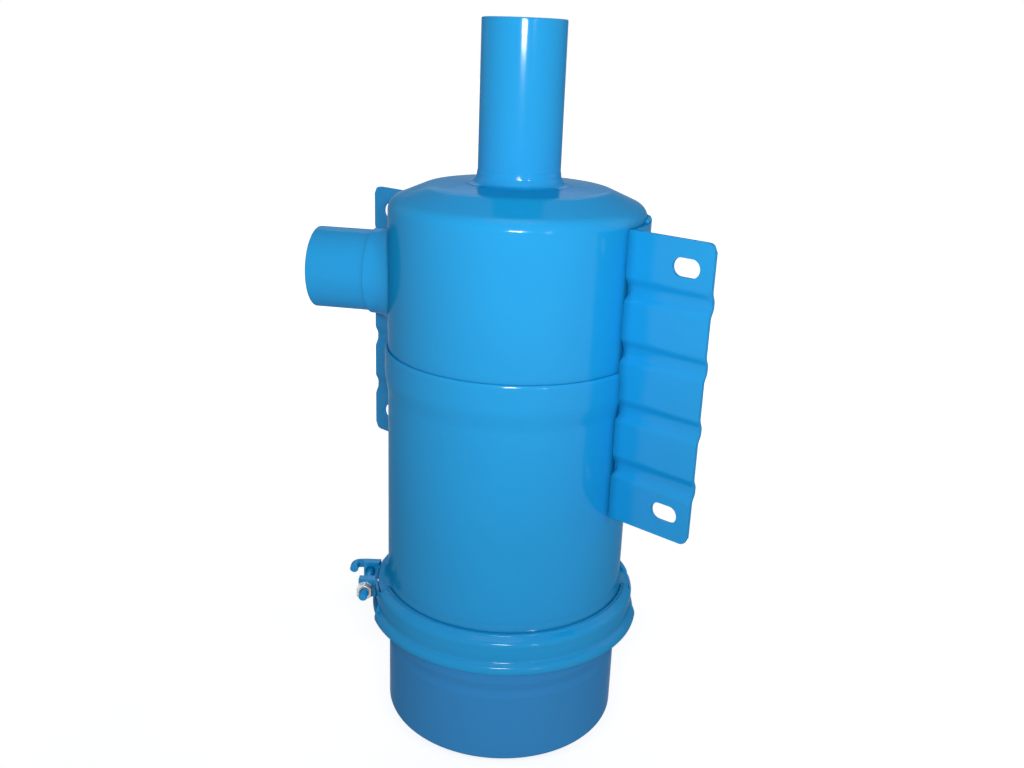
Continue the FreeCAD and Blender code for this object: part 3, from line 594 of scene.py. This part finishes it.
def make_body(sizes):
    clear = sizes.head_radius + 2 * FIT
    outline = [Vector((max(p.x, clear), p.y)) if p.y > sizes.shoulder + 5 * MM else p
               for p in sheet_outline(body_path(sizes), -sizes.body_sheet, 12)]
    body = turned("body_skin", [outline], "light_enamel", steps=257)
    return fitted(body, "head", ["body_shell"])


def make_intake(sizes):
    outer, top, mouth = sizes.intake_radius, sizes.collar_top, sizes.intake_top
    bore = outer - INTAKE_WALL
    neck = outer - INTAKE_STEP
    low = crown_height(sizes, neck) - INTAKE_REACH
    skin = [Vector((outer, top)), Vector((outer, mouth - INTAKE_WALL / 2))]
    skin += soft_edge(Vector((outer, mouth)), Vector((outer, top)), Vector((bore, mouth)))
    skin += [Vector((bore, low)), Vector((neck, low)), Vector((neck, top))]
    fitted(turned("intake_pipe_skin", [skin], "light_enamel"), "head", ["intake_pipe"])
    foot = crown_height(sizes, neck + COLLAR_FOOT) + COLLAR_LIFT
    inside = neck + FIT
    lip = inside + 0.8 * MM
    fillet = [(inside, crown_height(sizes, inside) + COLLAR_LIFT, 0), (inside, top - 0.1 * MM, 0),
              (outer - FIT, top, 0), (outer + 0.02 * MM, top - 0.1 * MM, 0),
              (lip, top - 2.2 * MM, 3 * MM), (lip + 0.15 * MM, foot + 1.2 * MM, 5.6 * MM),
              (neck + COLLAR_FOOT, foot + 0.12 * MM, 0), (neck + COLLAR_FOOT, foot, 0)]
    collar = turned("intake_collar_skin", [rounded(fillet, 14)], "light_enamel")
    return fitted(collar, "head", ["intake_collar"])


def outlet_ring(sizes, name, section, count=128):
    """Round piece about the outlet's axis, from points of radius, reach and share of the head's curve."""
    bm = bmesh.new()
    ahead = outlet_direction()
    aside = Vector((-ahead.y, ahead.x, 0))
    rings = []
    for radius, reach, follow in held([Vector(corner) for corner in section]):
        ring = []
        for index in range(count):
            turn = FULL_TURN * index / count
            sideways = radius * cos(turn)
            surface = sqrt(sizes.head_radius ** 2 - sideways ** 2)
            out = reach + follow * (surface - sizes.head_radius)
            level = Vector((0, 0, sizes.outlet_level + radius * sin(turn)))
            ring.append(bm.verts.new(ahead * out + aside * sideways + level))
        rings.append(ring)
    join_rings(bm, rings + rings[:1])
    return smooth(built(name, bm, "light_enamel"))


def make_outlet(sizes):
    outer, mouth, root = sizes.outlet_radius, sizes.outlet_reach, OUTLET_INNER_END
    bore = outer - OUTLET_WALL
    neck = outer - sizes.outlet_step
    shoulder = sizes.head_radius + OUTLET_COLLAR_LENGTH
    rim = soft_edge(Vector((outer, mouth)), Vector((outer, root)), Vector((bore, mouth)))
    section = [(neck, root, 1), (neck, root + 8 * MM, 0.5), (neck, shoulder + 0.05 * MM, 0),
               (neck + 0.1 * MM, shoulder + 0.06 * MM, 0), (outer, shoulder + 0.3 * MM, 0)]
    section += [(p.x, p.y, 0) for p in rim] + [(bore, root + 8 * MM, 0.5), (bore, root, 1)]
    fitted(outlet_ring(sizes, "outlet_pipe_skin", section), "head", ["outlet_pipe"])
    inside = neck + FIT
    outside = inside + OUTLET_COLLAR_WALL
    head = sizes.head_radius + FIT
    end = head + OUTLET_COLLAR_LENGTH
    collar = [(inside, head, 1), (inside, head + 6 * MM, 0.5), (inside, end - 0.4 * MM, 0),
              (inside + 0.4 * MM, end, 0), (outside - 0.45 * MM, end, 0),
              (outside - 0.1 * MM, end - 0.15 * MM, 0), (outside, end - 0.5 * MM, 0),
              (outside, end - 4 * MM, 0)]
    for step in range(1, 11):
        turn = pi / 2 * step / 10
        flare = OUTLET_FLARE * (1 - cos(turn))
        collar.append((outside + flare, end - 4 * MM - 7.6 * MM * sin(turn), min(1.0, step / 8)))
    collar.append((outside + OUTLET_FLARE + 0.1 * MM, head + 0.1 * MM, 1))
    return fitted(outlet_ring(sizes, "outlet_collar_skin", collar), "head", ["outlet_collar"])


# Bracket

BRACKET_SHEET, WING_BEND, WING_CORNER = 2.5 * MM, 4 * MM, 5 * MM
GROOVES, GROOVE_PITCH = 4, 37.3 * MM
GROOVE_FLOOR, GROOVE_SIDE = 1.5 * MM, 6.4 * MM
SLOT_ACROSS, SLOT_UP = 119.5 * MM, 75 * MM
SLOT_RADIUS, SLOT_STRAIGHT = 5.5 * MM, 3.5 * MM


def groove_depth(height, sizes):
    """How far the bracket's sheet is pressed back at a height, as a share of the full depth."""
    middle = (sizes.bracket_low + sizes.bracket_high) / 2
    away = min(abs(height - middle - (index - (GROOVES - 1) / 2) * GROOVE_PITCH) for index in range(GROOVES))
    return eased(1 - (away - GROOVE_FLOOR) / GROOVE_SIDE)


def bell_depth(height, sizes):
    """How far the saddle steps out over the bell at a height, as a share of the full depth."""
    low = sizes.shoulder - 8 * MM
    high = sizes.shoulder + sizes.bell_depth + 4 * MM
    return eased(min(height - low, high - height) / (4 * MM))


def bracket_plan(sizes):
    """Spots round the bracket from above: front and rear place, way back of each, share of saddle."""
    thickness, bend = BRACKET_SHEET, WING_BEND
    face = sizes.wing_setback
    saddle = sizes.head_radius + 3 * FIT
    bend_away = saddle + thickness + bend
    bend_back = face + thickness + bend
    bend_across = sqrt(bend_away ** 2 - bend_back ** 2)
    lean = asin(bend_back / bend_away)
    corner = asin(face / saddle)
    centre = Vector((bend_across, bend_back, 0))
    behind = Vector((0, 1, 0))
    right = []
    for step in range(29):
        front = Vector((sizes.wing_reach + (bend_across - sizes.wing_reach) * step / 28, face, 0))
        right.append((front, front + behind * thickness, behind, behind, 0.0))
    for step in range(1, 9):
        turn = (pi / 2 - lean) * step / 8
        spoke = Vector((-sin(turn), -cos(turn), 0))
        front = Vector((bend_across + (saddle * cos(corner) - bend_across) * step / 8, face, 0))
        right.append((front, centre + spoke * bend, behind, -spoke, 0.0))
    for step in range(0, 56):
        turns = [start + (pi / 2 - start) * step / 55 for start in (corner, lean)]
        front_out, rear_out = (Vector((cos(turn), sin(turn), 0)) for turn in turns)
        right.append((front_out * saddle, rear_out * (saddle + thickness), front_out, rear_out,
                      min(step / 3, 1.0)))
    return right + [(*map(flipped, spot[:4]), spot[4]) for spot in right[-2::-1]]


def flipped(vector):
    return Vector((-vector.x, vector.y, vector.z))


def stadium(sizes, across, height, steps=48):
    """Cutter for one slot."""
    bm = bmesh.new()
    reach = 8 * MM
    ring = []
    for step in range(steps):
        turn = FULL_TURN * step / steps
        side = SLOT_STRAIGHT if cos(turn) > 0 else -SLOT_STRAIGHT
        ring.append(bm.verts.new((across + side + SLOT_RADIUS * cos(turn), sizes.wing_setback - reach,
                                  height + SLOT_RADIUS * sin(turn))))
    moved = bmesh.ops.extrude_face_region(bm, geom=[bm.faces.new(ring)])["geom"]
    ends = [v for v in moved if isinstance(v, bmesh.types.BMVert)]
    bmesh.ops.translate(bm, verts=ends, vec=(0, 2 * reach, 0))
    return built("slot", bm)


def make_bracket(sizes, rows=150):
    plan = bracket_plan(sizes)
    bm = bmesh.new()
    skins = []
    for side in (0, 1):
        skin = []
        for spot in plan:
            place, back, share = spot[side], spot[side + 2], spot[4]
            into = max(abs(place.x) - (sizes.wing_reach - WING_CORNER), 0)
            trim = WING_CORNER - sqrt(max(WING_CORNER ** 2 - into ** 2, 0))
            low, high = sizes.bracket_low + trim, sizes.bracket_high - trim
            column = []
            for row in range(rows + 1):
                height = low + (high - low) * row / rows
                depth = max(groove_depth(height, sizes), bell_depth(height, sizes) * share)
                point = place + back * depth * sizes.groove_depth
                column.append(bm.verts.new((point.x, point.y, height)))
            skin.append(column)
        skins.append(skin)
    front, rear = skins
    for a, b, c, d in zip(front, front[1:], rear, rear[1:]):
        for row in range(rows):
            bm.faces.new((a[row], b[row], b[row + 1], a[row + 1]))
            bm.faces.new((c[row], c[row + 1], d[row + 1], d[row]))
        bm.faces.new((a[0], c[0], d[0], b[0]))
        bm.faces.new((a[rows], b[rows], d[rows], c[rows]))
    for a, c in ((front[0], rear[0]), (front[-1], rear[-1])):
        for row in range(rows):
            bm.faces.new((a[row], a[row + 1], c[row + 1], c[row]))
    bracket = built("bracket_sheet", bm, "light_enamel")
    middle = (sizes.bracket_low + sizes.bracket_high) / 2
    for side in (-1, 1):
        for end in (-1, 1):
            cut(bracket, stadium(sizes, side * SLOT_ACROSS, middle + end * SLOT_UP))
    return fitted(smooth(bevelled(bracket, 0.45 * MM, 60)), "head", ["bracket"])


def line_mesh(name, lines):
    """Mesh of separate open lines of points."""
    mesh = bpy.data.meshes.new(name)
    points, edges = [], []
    for line in lines:
        first = len(points)
        points += [tuple(point) for point in line]
        edges += [(first + index, first + index + 1) for index in range(len(line) - 1)]
    mesh.from_pydata(points, edges, [])
    return mesh


def weld(name, lines, size, slot, sizes):
    """Rippled weld beads along lines."""
    bead = grown(name, line_mesh(name, lines), "Weld ripples", slot, Pitch=sizes.weld_ripple, Size=size, Seed=7)
    return smooth(bead, 60)


def make_bracket_welds(sizes):
    """Three short beads along each edge of the saddle."""
    lines = []
    size, half_turn, steps = 1.5 * MM, 7.2, 12
    for radius, height in ((sizes.head_radius, sizes.bracket_high + 0.55 * MM),
                           (sizes.body_radius, sizes.bracket_low - 0.55 * MM)):
        away = radius + size / 2
        for middle in (30, 90, 150):
            turns = [radians(middle + half_turn * (2 * step / steps - 1)) for step in range(steps + 1)]
            lines.append([Vector((away * cos(turn), away * sin(turn), height)) for turn in turns])
    piece = weld("bracket_weld_beads", lines, size, "light_enamel", sizes)
    return fitted(piece, "head", ["bracket_welds"])


# Clamp

CLAMP_AZIMUTH = -140
SEAT = 0.3 * MM
HOOK_WRAP = radians(20)
STRAP_LOW, STRAP_HIGH = 82.0 * MM, 90.6 * MM
BAND_START, BAND_END = 5.84, 180.0
PRESSED_START, PRESSED_END, PRESSED_EASE = 19.0, 173.4, 3.4
ROD_END, ROD_BACK = 27.6 * MM, -20.05 * MM
HOOK_SIDE, HOOK_TIP = 12 * MM, -11.55 * MM
THREAD_START, THREAD_PITCH, THREAD_DEPTH, ROD_CHAMFER = 12.5 * MM, 1.0 * MM, 0.5 * MM, 0.6 * MM


def clamp_frame():
    """Directions outwards and along the bolt at the closure."""
    turn = radians(CLAMP_AZIMUTH)
    return Vector((cos(turn), sin(turn), 0)), Vector((-sin(turn), cos(turn), 0))


def band_section(sizes):
    """Inner skin of the pressed band, from the leg over the flange down round the cup's bead."""
    inside = sizes.band_radius - sizes.band_sheet
    bend = sizes.bead_size + SEAT
    flange = shifted(body_path(sizes), SEAT)
    knee, edge = flange[-2:]
    slope = (Vector(edge[:2]) - Vector(knee[:2])).normalized()
    corner = knee[1] + (inside - knee[0]) * slope.y / slope.x
    across = inside + bend - sizes.bead_radius
    rise = sqrt((2 * bend) ** 2 - across ** 2)
    lean = Vector((rise, -across)) / (2 * bend)
    join = Vector((sizes.bead_radius + across / 2, sizes.bead_height + rise / 2))
    back = (join.x - inside) / lean.x
    tip = (sizes.bead_radius + bend * cos(HOOK_WRAP), sizes.bead_height - bend * sin(HOOK_WRAP), 0)
    ahead = bend * tan((atan2(rise, across) + HOOK_WRAP) / 2)
    leg_start = (81.95 * MM, knee[1] + 1.9 * MM, 0)
    return [leg_start, (knee[0] + 1.2 * MM, knee[1] + 0.35 * MM, 3 * MM), (inside, corner, 2.5 * MM),
            (inside, join.y - lean.y * back, bend), (join.x + lean.x * ahead, join.y + lean.y * ahead, bend), tip]


def resampled(points, count):
    """Evenly spaced points along an open line."""
    runs = [(b - a).length for a, b in zip(points, points[1:])]
    total = sum(runs)
    spaced = []
    index, gone = 0, 0.0
    for step in range(count):
        wanted = total * step / (count - 1)
        while index < len(runs) - 1 and gone + runs[index] < wanted:
            gone += runs[index]
            index += 1
        share = clamped((wanted - gone) / runs[index]) if runs[index] else 0.0
        spaced.append(points[index].lerp(points[index + 1], share))
    return spaced


def band_half(sizes, side, count=46):
    """One half of the band, plain at the closure and at its back and pressed between them."""
    path = band_section(sizes)
    inner = resampled(rounded(path, 10), count)
    outer = resampled(rounded(shifted(path, sizes.band_sheet), 10), count)
    inside = sizes.band_radius - sizes.band_sheet
    levels = [STRAP_HIGH + (STRAP_LOW - STRAP_HIGH) * step / (count - 1) for step in range(count)]
    plain = [Vector((sizes.band_radius, level)) for level in levels]
    plain += [Vector((inside, level)) for level in levels[::-1]]
    pressed = outer + inner[::-1]
    first, last = PRESSED_START + PRESSED_EASE, PRESSED_END - PRESSED_EASE
    stops = [BAND_START, BAND_START + 2, 12, PRESSED_START]
    stops += [PRESSED_START + PRESSED_EASE * step / 8 for step in range(1, 9)]
    stops += [first + (last - first) * step / 110 for step in range(1, 111)]
    stops += [last + PRESSED_EASE * step / 8 for step in range(1, 9)]
    stops += [176.5, BAND_END]
    bm = bmesh.new()
    rings = []
    for stop in stops:
        share = eased(min(stop - PRESSED_START, PRESSED_END - stop) / PRESSED_EASE)
        turn = radians(CLAMP_AZIMUTH + side * stop)
        section = [a.lerp(b, share) for a, b in zip(plain, pressed)]
        rings.append([bm.verts.new((p.x * cos(turn), p.x * sin(turn), p.y)) for p in section])
    join_rings(bm, rings)
    bm.faces.new(rings[0])
    bm.faces.new(rings[-1][::-1])
    name = "band_front_half" if side > 0 else "band_rear_half"
    return smooth(bevelled(built(name, bm, "clamp_enamel"), 0.3 * MM, 55), 40)


def softened(node, name, width, slot, dissolve=2.0):
    """Copy of a solid with its loose triangles joined and its edges rounded."""
    bm = bmesh.new()
    bm.from_mesh(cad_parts[node].data)
    bmesh.ops.remove_doubles(bm, verts=bm.verts, dist=WELD_DISTANCE)
    bmesh.ops.dissolve_limit(bm, angle_limit=radians(dissolve), verts=bm.verts, edges=bm.edges)
    for face in bm.faces:
        face.material_index = 0
    mesh = bpy.data.meshes.new(name)
    bm.to_mesh(mesh)
    bm.free()
    mesh.materials.append(finish(slot))
    return smooth(bevelled(new_object(name, mesh), width, 40, 3), 40)


def make_band(sizes):
    out, along = clamp_frame()
    for side, half in ((1, "front"), (-1, "rear")):
        body = "clamp_" + half
        fitted(band_half(sizes, side), body, ["clamp_band_" + half])
        lug = softened("clamp_lug_" + half, "lug_" + half, 0.7 * MM, "clamp_enamel")
        fitted(lug, body, ["clamp_lug_" + half])
        root = out * (sizes.band_radius - 0.55 * MM) + along * side * 8.7 * MM
        line = [root + Vector((0, 0, sizes.strap_height + rise * MM)) for rise in (-3.4, 3.4)]
        bead = weld("lug_weld_bead_" + half, [line], 1.3 * MM, "clamp_enamel", sizes)
        fitted(bead, body, ["lug_weld_" + half])


def rod_rail(sizes):
    """Points of the hook bolt's centre line from its threaded end to its hook's tip, with their run so far."""
    out, along = clamp_frame()
    path = [(ROD_END, 0, 0), (ROD_BACK, 0, 5 * MM), (ROD_BACK, HOOK_SIDE, 4 * MM), (HOOK_TIP, HOOK_SIDE, 0)]
    flat = rounded(path, 16)
    fine = []
    for first, second in zip(flat, flat[1:]):
        pieces = max(1, int((second - first).length / (0.11 * MM))) if first.x > 2 * MM else 6
        fine += [first.lerp(second, step / pieces) for step in range(pieces)]
    fine.append(flat[-1])
    level = Vector((0, 0, sizes.strap_height))
    return [out * (sizes.bolt_line + p.y) + along * p.x + level for p in fine], [p.x for p in fine]


def make_hook_bolt(sizes, count=28):
    rail, reach = rod_rail(sizes)
    bm = bmesh.new()
    rings = []
    up = Vector((0, 0, 1))
    for index, (centre, run) in enumerate(zip(rail, reach)):
        ahead = (rail[min(index + 1, len(rail) - 1)] - rail[max(index - 1, 0)]).normalized()
        side = ahead.cross(up).normalized()
        thread_fade = clamped((run - THREAD_START) / (1.5 * MM))
        end_fade = max(0.0, 1 - (ROD_END - run) / (0.9 * MM))
        ring = []
        for step in range(count):
            turn = FULL_TURN * step / count
            tooth = abs(2 * ((run / THREAD_PITCH + step / count) % 1.0) - 1)
            radius = sizes.bolt_radius - THREAD_DEPTH * tooth * thread_fade - ROD_CHAMFER * end_fade
            ring.append(bm.verts.new(centre + side * cos(turn) * radius + up * sin(turn) * radius))
        rings.append(ring)
    rings.append([bm.verts.new(rail[-1].lerp(v.co, 0.8)) for v in rings[-1]])
    join_rings(bm, rings)
    bm.faces.new(rings[0])
    bm.faces.new(rings[-1])
    rod = smooth(built("hook_bolt_rod", bm, "clamp_enamel"), 50)
    return fitted(rod, "clamp_rear", ["hook_bolt"])


def make_closure(sizes):
    make_hook_bolt(sizes)
    nut = softened("clamp_nut", "nut_with_soft_corners", 0.5 * MM, "zinc")
    fitted(nut, "clamp_nut", ["clamp_nut"])
    washer = softened("clamp_washer", "flat_washer", 0.25 * MM, "zinc")
    fitted(washer, "clamp_washer", ["clamp_washer"])


# Cup and filter

CUP_GROOVE, CUP_GROOVE_HALF, CUP_GROOVE_DEPTH, CUP_GROOVE_BEND = 52.5 * MM, 5.5 * MM, 1.3 * MM, 5.5 * MM
CUP_RIM, CUP_RIM_BEND, CUP_FOOT_BEND = 7.9 * MM, 1.2 * MM, 3 * MM


def make_cup(sizes):
    radius, shelf = sizes.cup_radius, sizes.cup_depth - sizes.cup_sheet
    skirt = radius + CUP_RIM - sizes.cup_sheet
    path = [
        (0, 0, 0),
        (radius, 0, CUP_FOOT_BEND),
        (radius, CUP_GROOVE - CUP_GROOVE_HALF, CUP_GROOVE_BEND),
        (radius - CUP_GROOVE_DEPTH, CUP_GROOVE, CUP_GROOVE_BEND),
        (radius, CUP_GROOVE + CUP_GROOVE_HALF, CUP_GROOVE_BEND),
        (radius, shelf, CUP_RIM_BEND),
        (skirt, shelf, CUP_RIM_BEND),
        (skirt, sizes.bead_height, 0),
    ]
    outer = rounded(path, 8)
    inner = rounded(shifted(path, sizes.cup_sheet), 8)
    inner[0].x = 0.0
    bead = circle_outline(sizes.bead_radius, sizes.bead_height, sizes.bead_size)
    cup = turned("cup_skin", [outer + inner[::-1], bead], "cup_enamel", steps=257)
    return fitted(cup, "oil_cup", ["oil_cup"])


def ring_face_mesh(name, inside, outside, height):
    """Flat ring, facing down, on which wire loops are scattered."""
    points, faces = [], []
    count = 64
    for radius in (inside, outside):
        for index in range(count):
            turn = FULL_TURN * index / count
            points.append((radius * cos(turn), radius * sin(turn), height))
    for index in range(count):
        after = (index + 1) % count
        faces.append((index, after, count + after, count + index))
    mesh = bpy.data.meshes.new(name)
    mesh.from_pydata(points, [], faces)
    return mesh


def make_filter(sizes):
    plain = {
        "inner_steel": ("centre_tube", "upper_screen", "lower_screen", "screen_ring", "element_sleeve"),
        "wire_gauze": ("gauze_pack", "element_gauze"),
        "rubber": ("cup_gasket",),
    }
    for slot, nodes in plain.items():
        for node in nodes:
            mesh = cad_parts[node].data
            mesh.materials.clear()
            mesh.materials.append(finish(slot))
    for node, body, name in (("element_can", "element", "element_shell"),
                             ("inner_cup", "inner_cup", "inner_cup_shell"),
                             ("element_floor_screen", "element", "floor_screen"),
                             ("element_top_screen", "element", "top_screen")):
        fitted(softened(node, name, 0.15 * MM, "inner_steel", 0.3), body, [node])
    faces = ring_face_mesh("gauze_ring", 30 * MM, 70 * MM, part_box("element_gauze")[0].z + 1.4 * MM)
    wire = grown("gauze_wire", faces, "Knitted wire", "wire_gauze", Density=90000.0, Loop=4.2 * MM,
                 Wire=0.14 * MM, Seed=11)
    return fitted(smooth(wire, 80), "element", [])


# Studio

def make_stage(sizes):
    scene = bpy.context.scene
    scene.view_settings.view_transform = "Standard"
    floor_mesh = bpy.data.meshes.new("studio_floor")
    span = 12.0
    corners = [(x * span, y * span, -sizes.floor_drop) for x, y in ((-1, -1), (1, -1), (1, 1), (-1, 1))]
    floor_mesh.from_pydata(corners, [], [(0, 1, 2, 3)])
    floor_mesh.materials.append(floor_finish())
    new_object("studio_floor", floor_mesh)
    world = bpy.data.worlds.new("studio")
    world.use_nodes = True
    make = TreeMaker(world.node_tree)
    strength = ramp(make, background_seen(make), 0.0, 1.0, 0.14, 1.0)
    glow = make.add("ShaderNodeBackground", Color=(1, 1, 1, 1), Strength=strength)
    make.tree.links.new(glow.outputs[0], make.add("ShaderNodeOutputWorld").inputs[0])
    scene.world = world
    lamps = (
        ("camera_flash", (0.419, -0.496, 0.470), 0.68, 3.4, (0.13, 0.04)),
        ("small_lamp", (1.75, -0.74, 0.60), 0.28, 2.5, (0.06, 0.06)),
        ("top_softbox", (0.10, -0.20, 1.60), 0.28, 1.6, (0.7, 0.7)),
        ("left_softbox", (-1.36, -0.12, 0.75), 0.28, 0.9, (0.9, 0.9)),
        ("right_softbox", (0.75, 1.10, 0.85), 0.28, 1.4, (0.8, 0.8)),
        ("back_softbox", (-0.95, 1.05, 1.05), 0.28, 5.0, (0.9, 0.8)),
    )
    for name, place, aim_height, power, size in lamps:
        light = bpy.data.lights.new(name, "AREA")
        light.shape = "RECTANGLE"
        light.size, light.size_y = size
        light.energy = power
        lamp = bpy.data.objects.new(name, light)
        lamp.location = place
        aim = Vector((0, 0, aim_height)) - Vector(place)
        lamp.rotation_euler = aim.to_track_quat("-Z", "Y").to_euler()
        scene.collection.objects.link(lamp)
    place_camera(scene)


def background_seen(make):
    """One where the white background shows: seen straight, in a gloss or through glass."""
    path = make.add("ShaderNodeLightPath").outputs
    mirrored = make.math("MAXIMUM", path["Is Glossy Ray"], path["Is Transmission Ray"])
    return make.math("MAXIMUM", path["Is Camera Ray"], mirrored)


def floor_finish():
    """White floor that keeps the object's shadow and joins the white background."""
    material, make = new_finish("studio_floor")
    tint = tuple(bpy.context.scene.cleaner_finish.floor)
    cloth = make.add("ShaderNodeBsdfDiffuse", Color=tint).outputs[0]
    away = make.add("ShaderNodeVectorMath", {"operation": "LENGTH"}, at0=coordinates(make)).outputs["Value"]
    fade = ramp(make, away, 0.35, 1.5, 0.6, 1.0)
    strength = make.math("MULTIPLY", background_seen(make), fade)
    glow = make.add("ShaderNodeEmission", Color=(1, 1, 1, 1), Strength=strength).outputs[0]
    both = make.add("ShaderNodeAddShader", at0=cloth, at1=glow).outputs[0]
    make.tree.links.new(both, make.add("ShaderNodeOutputMaterial").inputs[0])
    return material


def place_camera(scene):
    """Camera where the photographer stood, found from the vessel's outline."""
    turn, pitch, roll, yaw = radians(40.2), 0.3243, 0.0388, 0.0010
    picture_width, focal_pixels, sensor = 1024, 1012.1, 36.0
    ahead = Vector((sin(yaw) * cos(pitch), cos(yaw) * cos(pitch), -sin(pitch)))
    right = ahead.cross(Vector((0, 0, 1))).normalized()
    up = right.cross(ahead)
    right, up = right * cos(roll) + up * sin(roll), up * cos(roll) - right * sin(roll)
    facing = Matrix((right, up, -ahead)).transposed().to_4x4()
    stand = Matrix.Translation(Vector((0, -627.5, 444.1)) * MM)
    camera_data = bpy.data.cameras.new("photo_camera")
    camera_data.sensor_width = sensor
    camera_data.lens = focal_pixels / picture_width * sensor
    camera_data.clip_start = 0.01
    camera = bpy.data.objects.new("photo_camera", camera_data)
    camera.matrix_world = Matrix.Rotation(turn, 4, "Z") @ stand @ facing
    scene.collection.objects.link(camera)
    scene.camera = camera


# Operators

class CleanerStep:
    """What all the operators share."""

    bl_options = {"REGISTER", "UNDO"}
    makers = ()

    def execute(self, context):
        for maker in self.makers:
            maker(context.scene.cleaner_sizes)
        return {"FINISHED"}


class CLEANER_OT_stage(CleanerStep, bpy.types.Operator):
    """Set up the pale floor, the soft lights and the camera"""

    bl_idname = "cleaner.stage"
    bl_label = "Studio"
    makers = (make_stage,)


class CLEANER_OT_head(CleanerStep, bpy.types.Operator):
    """Dress the domed head"""

    bl_idname = "cleaner.head"
    bl_label = "Head"
    makers = (make_head,)


class CLEANER_OT_pipes(CleanerStep, bpy.types.Operator):
    """Dress the intake and outlet pipes and their collars"""

    bl_idname = "cleaner.pipes"
    bl_label = "Pipes"
    makers = (make_intake, make_outlet)


class CLEANER_OT_body(CleanerStep, bpy.types.Operator):
    """Dress the body shell"""

    bl_idname = "cleaner.body"
    bl_label = "Body"
    makers = (make_body,)


class CLEANER_OT_bracket(CleanerStep, bpy.types.Operator):
    """Dress the bracket and its welds"""

    bl_idname = "cleaner.bracket"
    bl_label = "Bracket"
    makers = (make_bracket, make_bracket_welds)


class CLEANER_OT_clamp(CleanerStep, bpy.types.Operator):
    """Dress the clamp band, its lugs, hook bolt, nut and washer"""

    bl_idname = "cleaner.clamp"
    bl_label = "Clamp"
    makers = (make_band, make_closure)


class CLEANER_OT_cup(CleanerStep, bpy.types.Operator):
    """Dress the oil cup"""

    bl_idname = "cleaner.cup"
    bl_label = "Oil cup"
    makers = (make_cup,)


class CLEANER_OT_filter(CleanerStep, bpy.types.Operator):
    """Dress the filter's screens, gauze, tube and gasket"""

    bl_idname = "cleaner.filter"
    bl_label = "Filter"
    makers = (make_filter,)


STEPS = (CLEANER_OT_stage, CLEANER_OT_head, CLEANER_OT_pipes, CLEANER_OT_body, CLEANER_OT_bracket,
         CLEANER_OT_clamp, CLEANER_OT_cup, CLEANER_OT_filter)


class CLEANER_PT_panel(bpy.types.Panel):
    """Sizes, finishes and steps of the air cleaner"""

    bl_label = "Air cleaner"
    bl_idname = "CLEANER_PT_panel"
    bl_space_type = "VIEW_3D"
    bl_region_type = "UI"
    bl_category = "Air cleaner"

    def draw(self, context):
        layout = self.layout
        for group in (context.scene.cleaner_sizes, context.scene.cleaner_finish):
            column = layout.column(align=True)
            for name in group.__annotations__:
                column.prop(group, name)
        for step in STEPS:
            layout.operator(step.bl_idname)


CLASSES = (CleanerSizes, CleanerFinish) + STEPS + (CLEANER_PT_panel,)


def register():
    for cls in CLASSES:
        bpy.utils.register_class(cls)
    bpy.types.Scene.cleaner_sizes = bpy.props.PointerProperty(type=CleanerSizes)
    bpy.types.Scene.cleaner_finish = bpy.props.PointerProperty(type=CleanerFinish)


def unregister():
    del bpy.types.Scene.cleaner_finish
    del bpy.types.Scene.cleaner_sizes
    for cls in reversed(CLASSES):
        bpy.utils.unregister_class(cls)


def main():
    register()
    for step in STEPS:
        group, name = step.bl_idname.split(".")
        getattr(getattr(bpy.ops, group), name)()


if __name__ == "__main__":
    main()
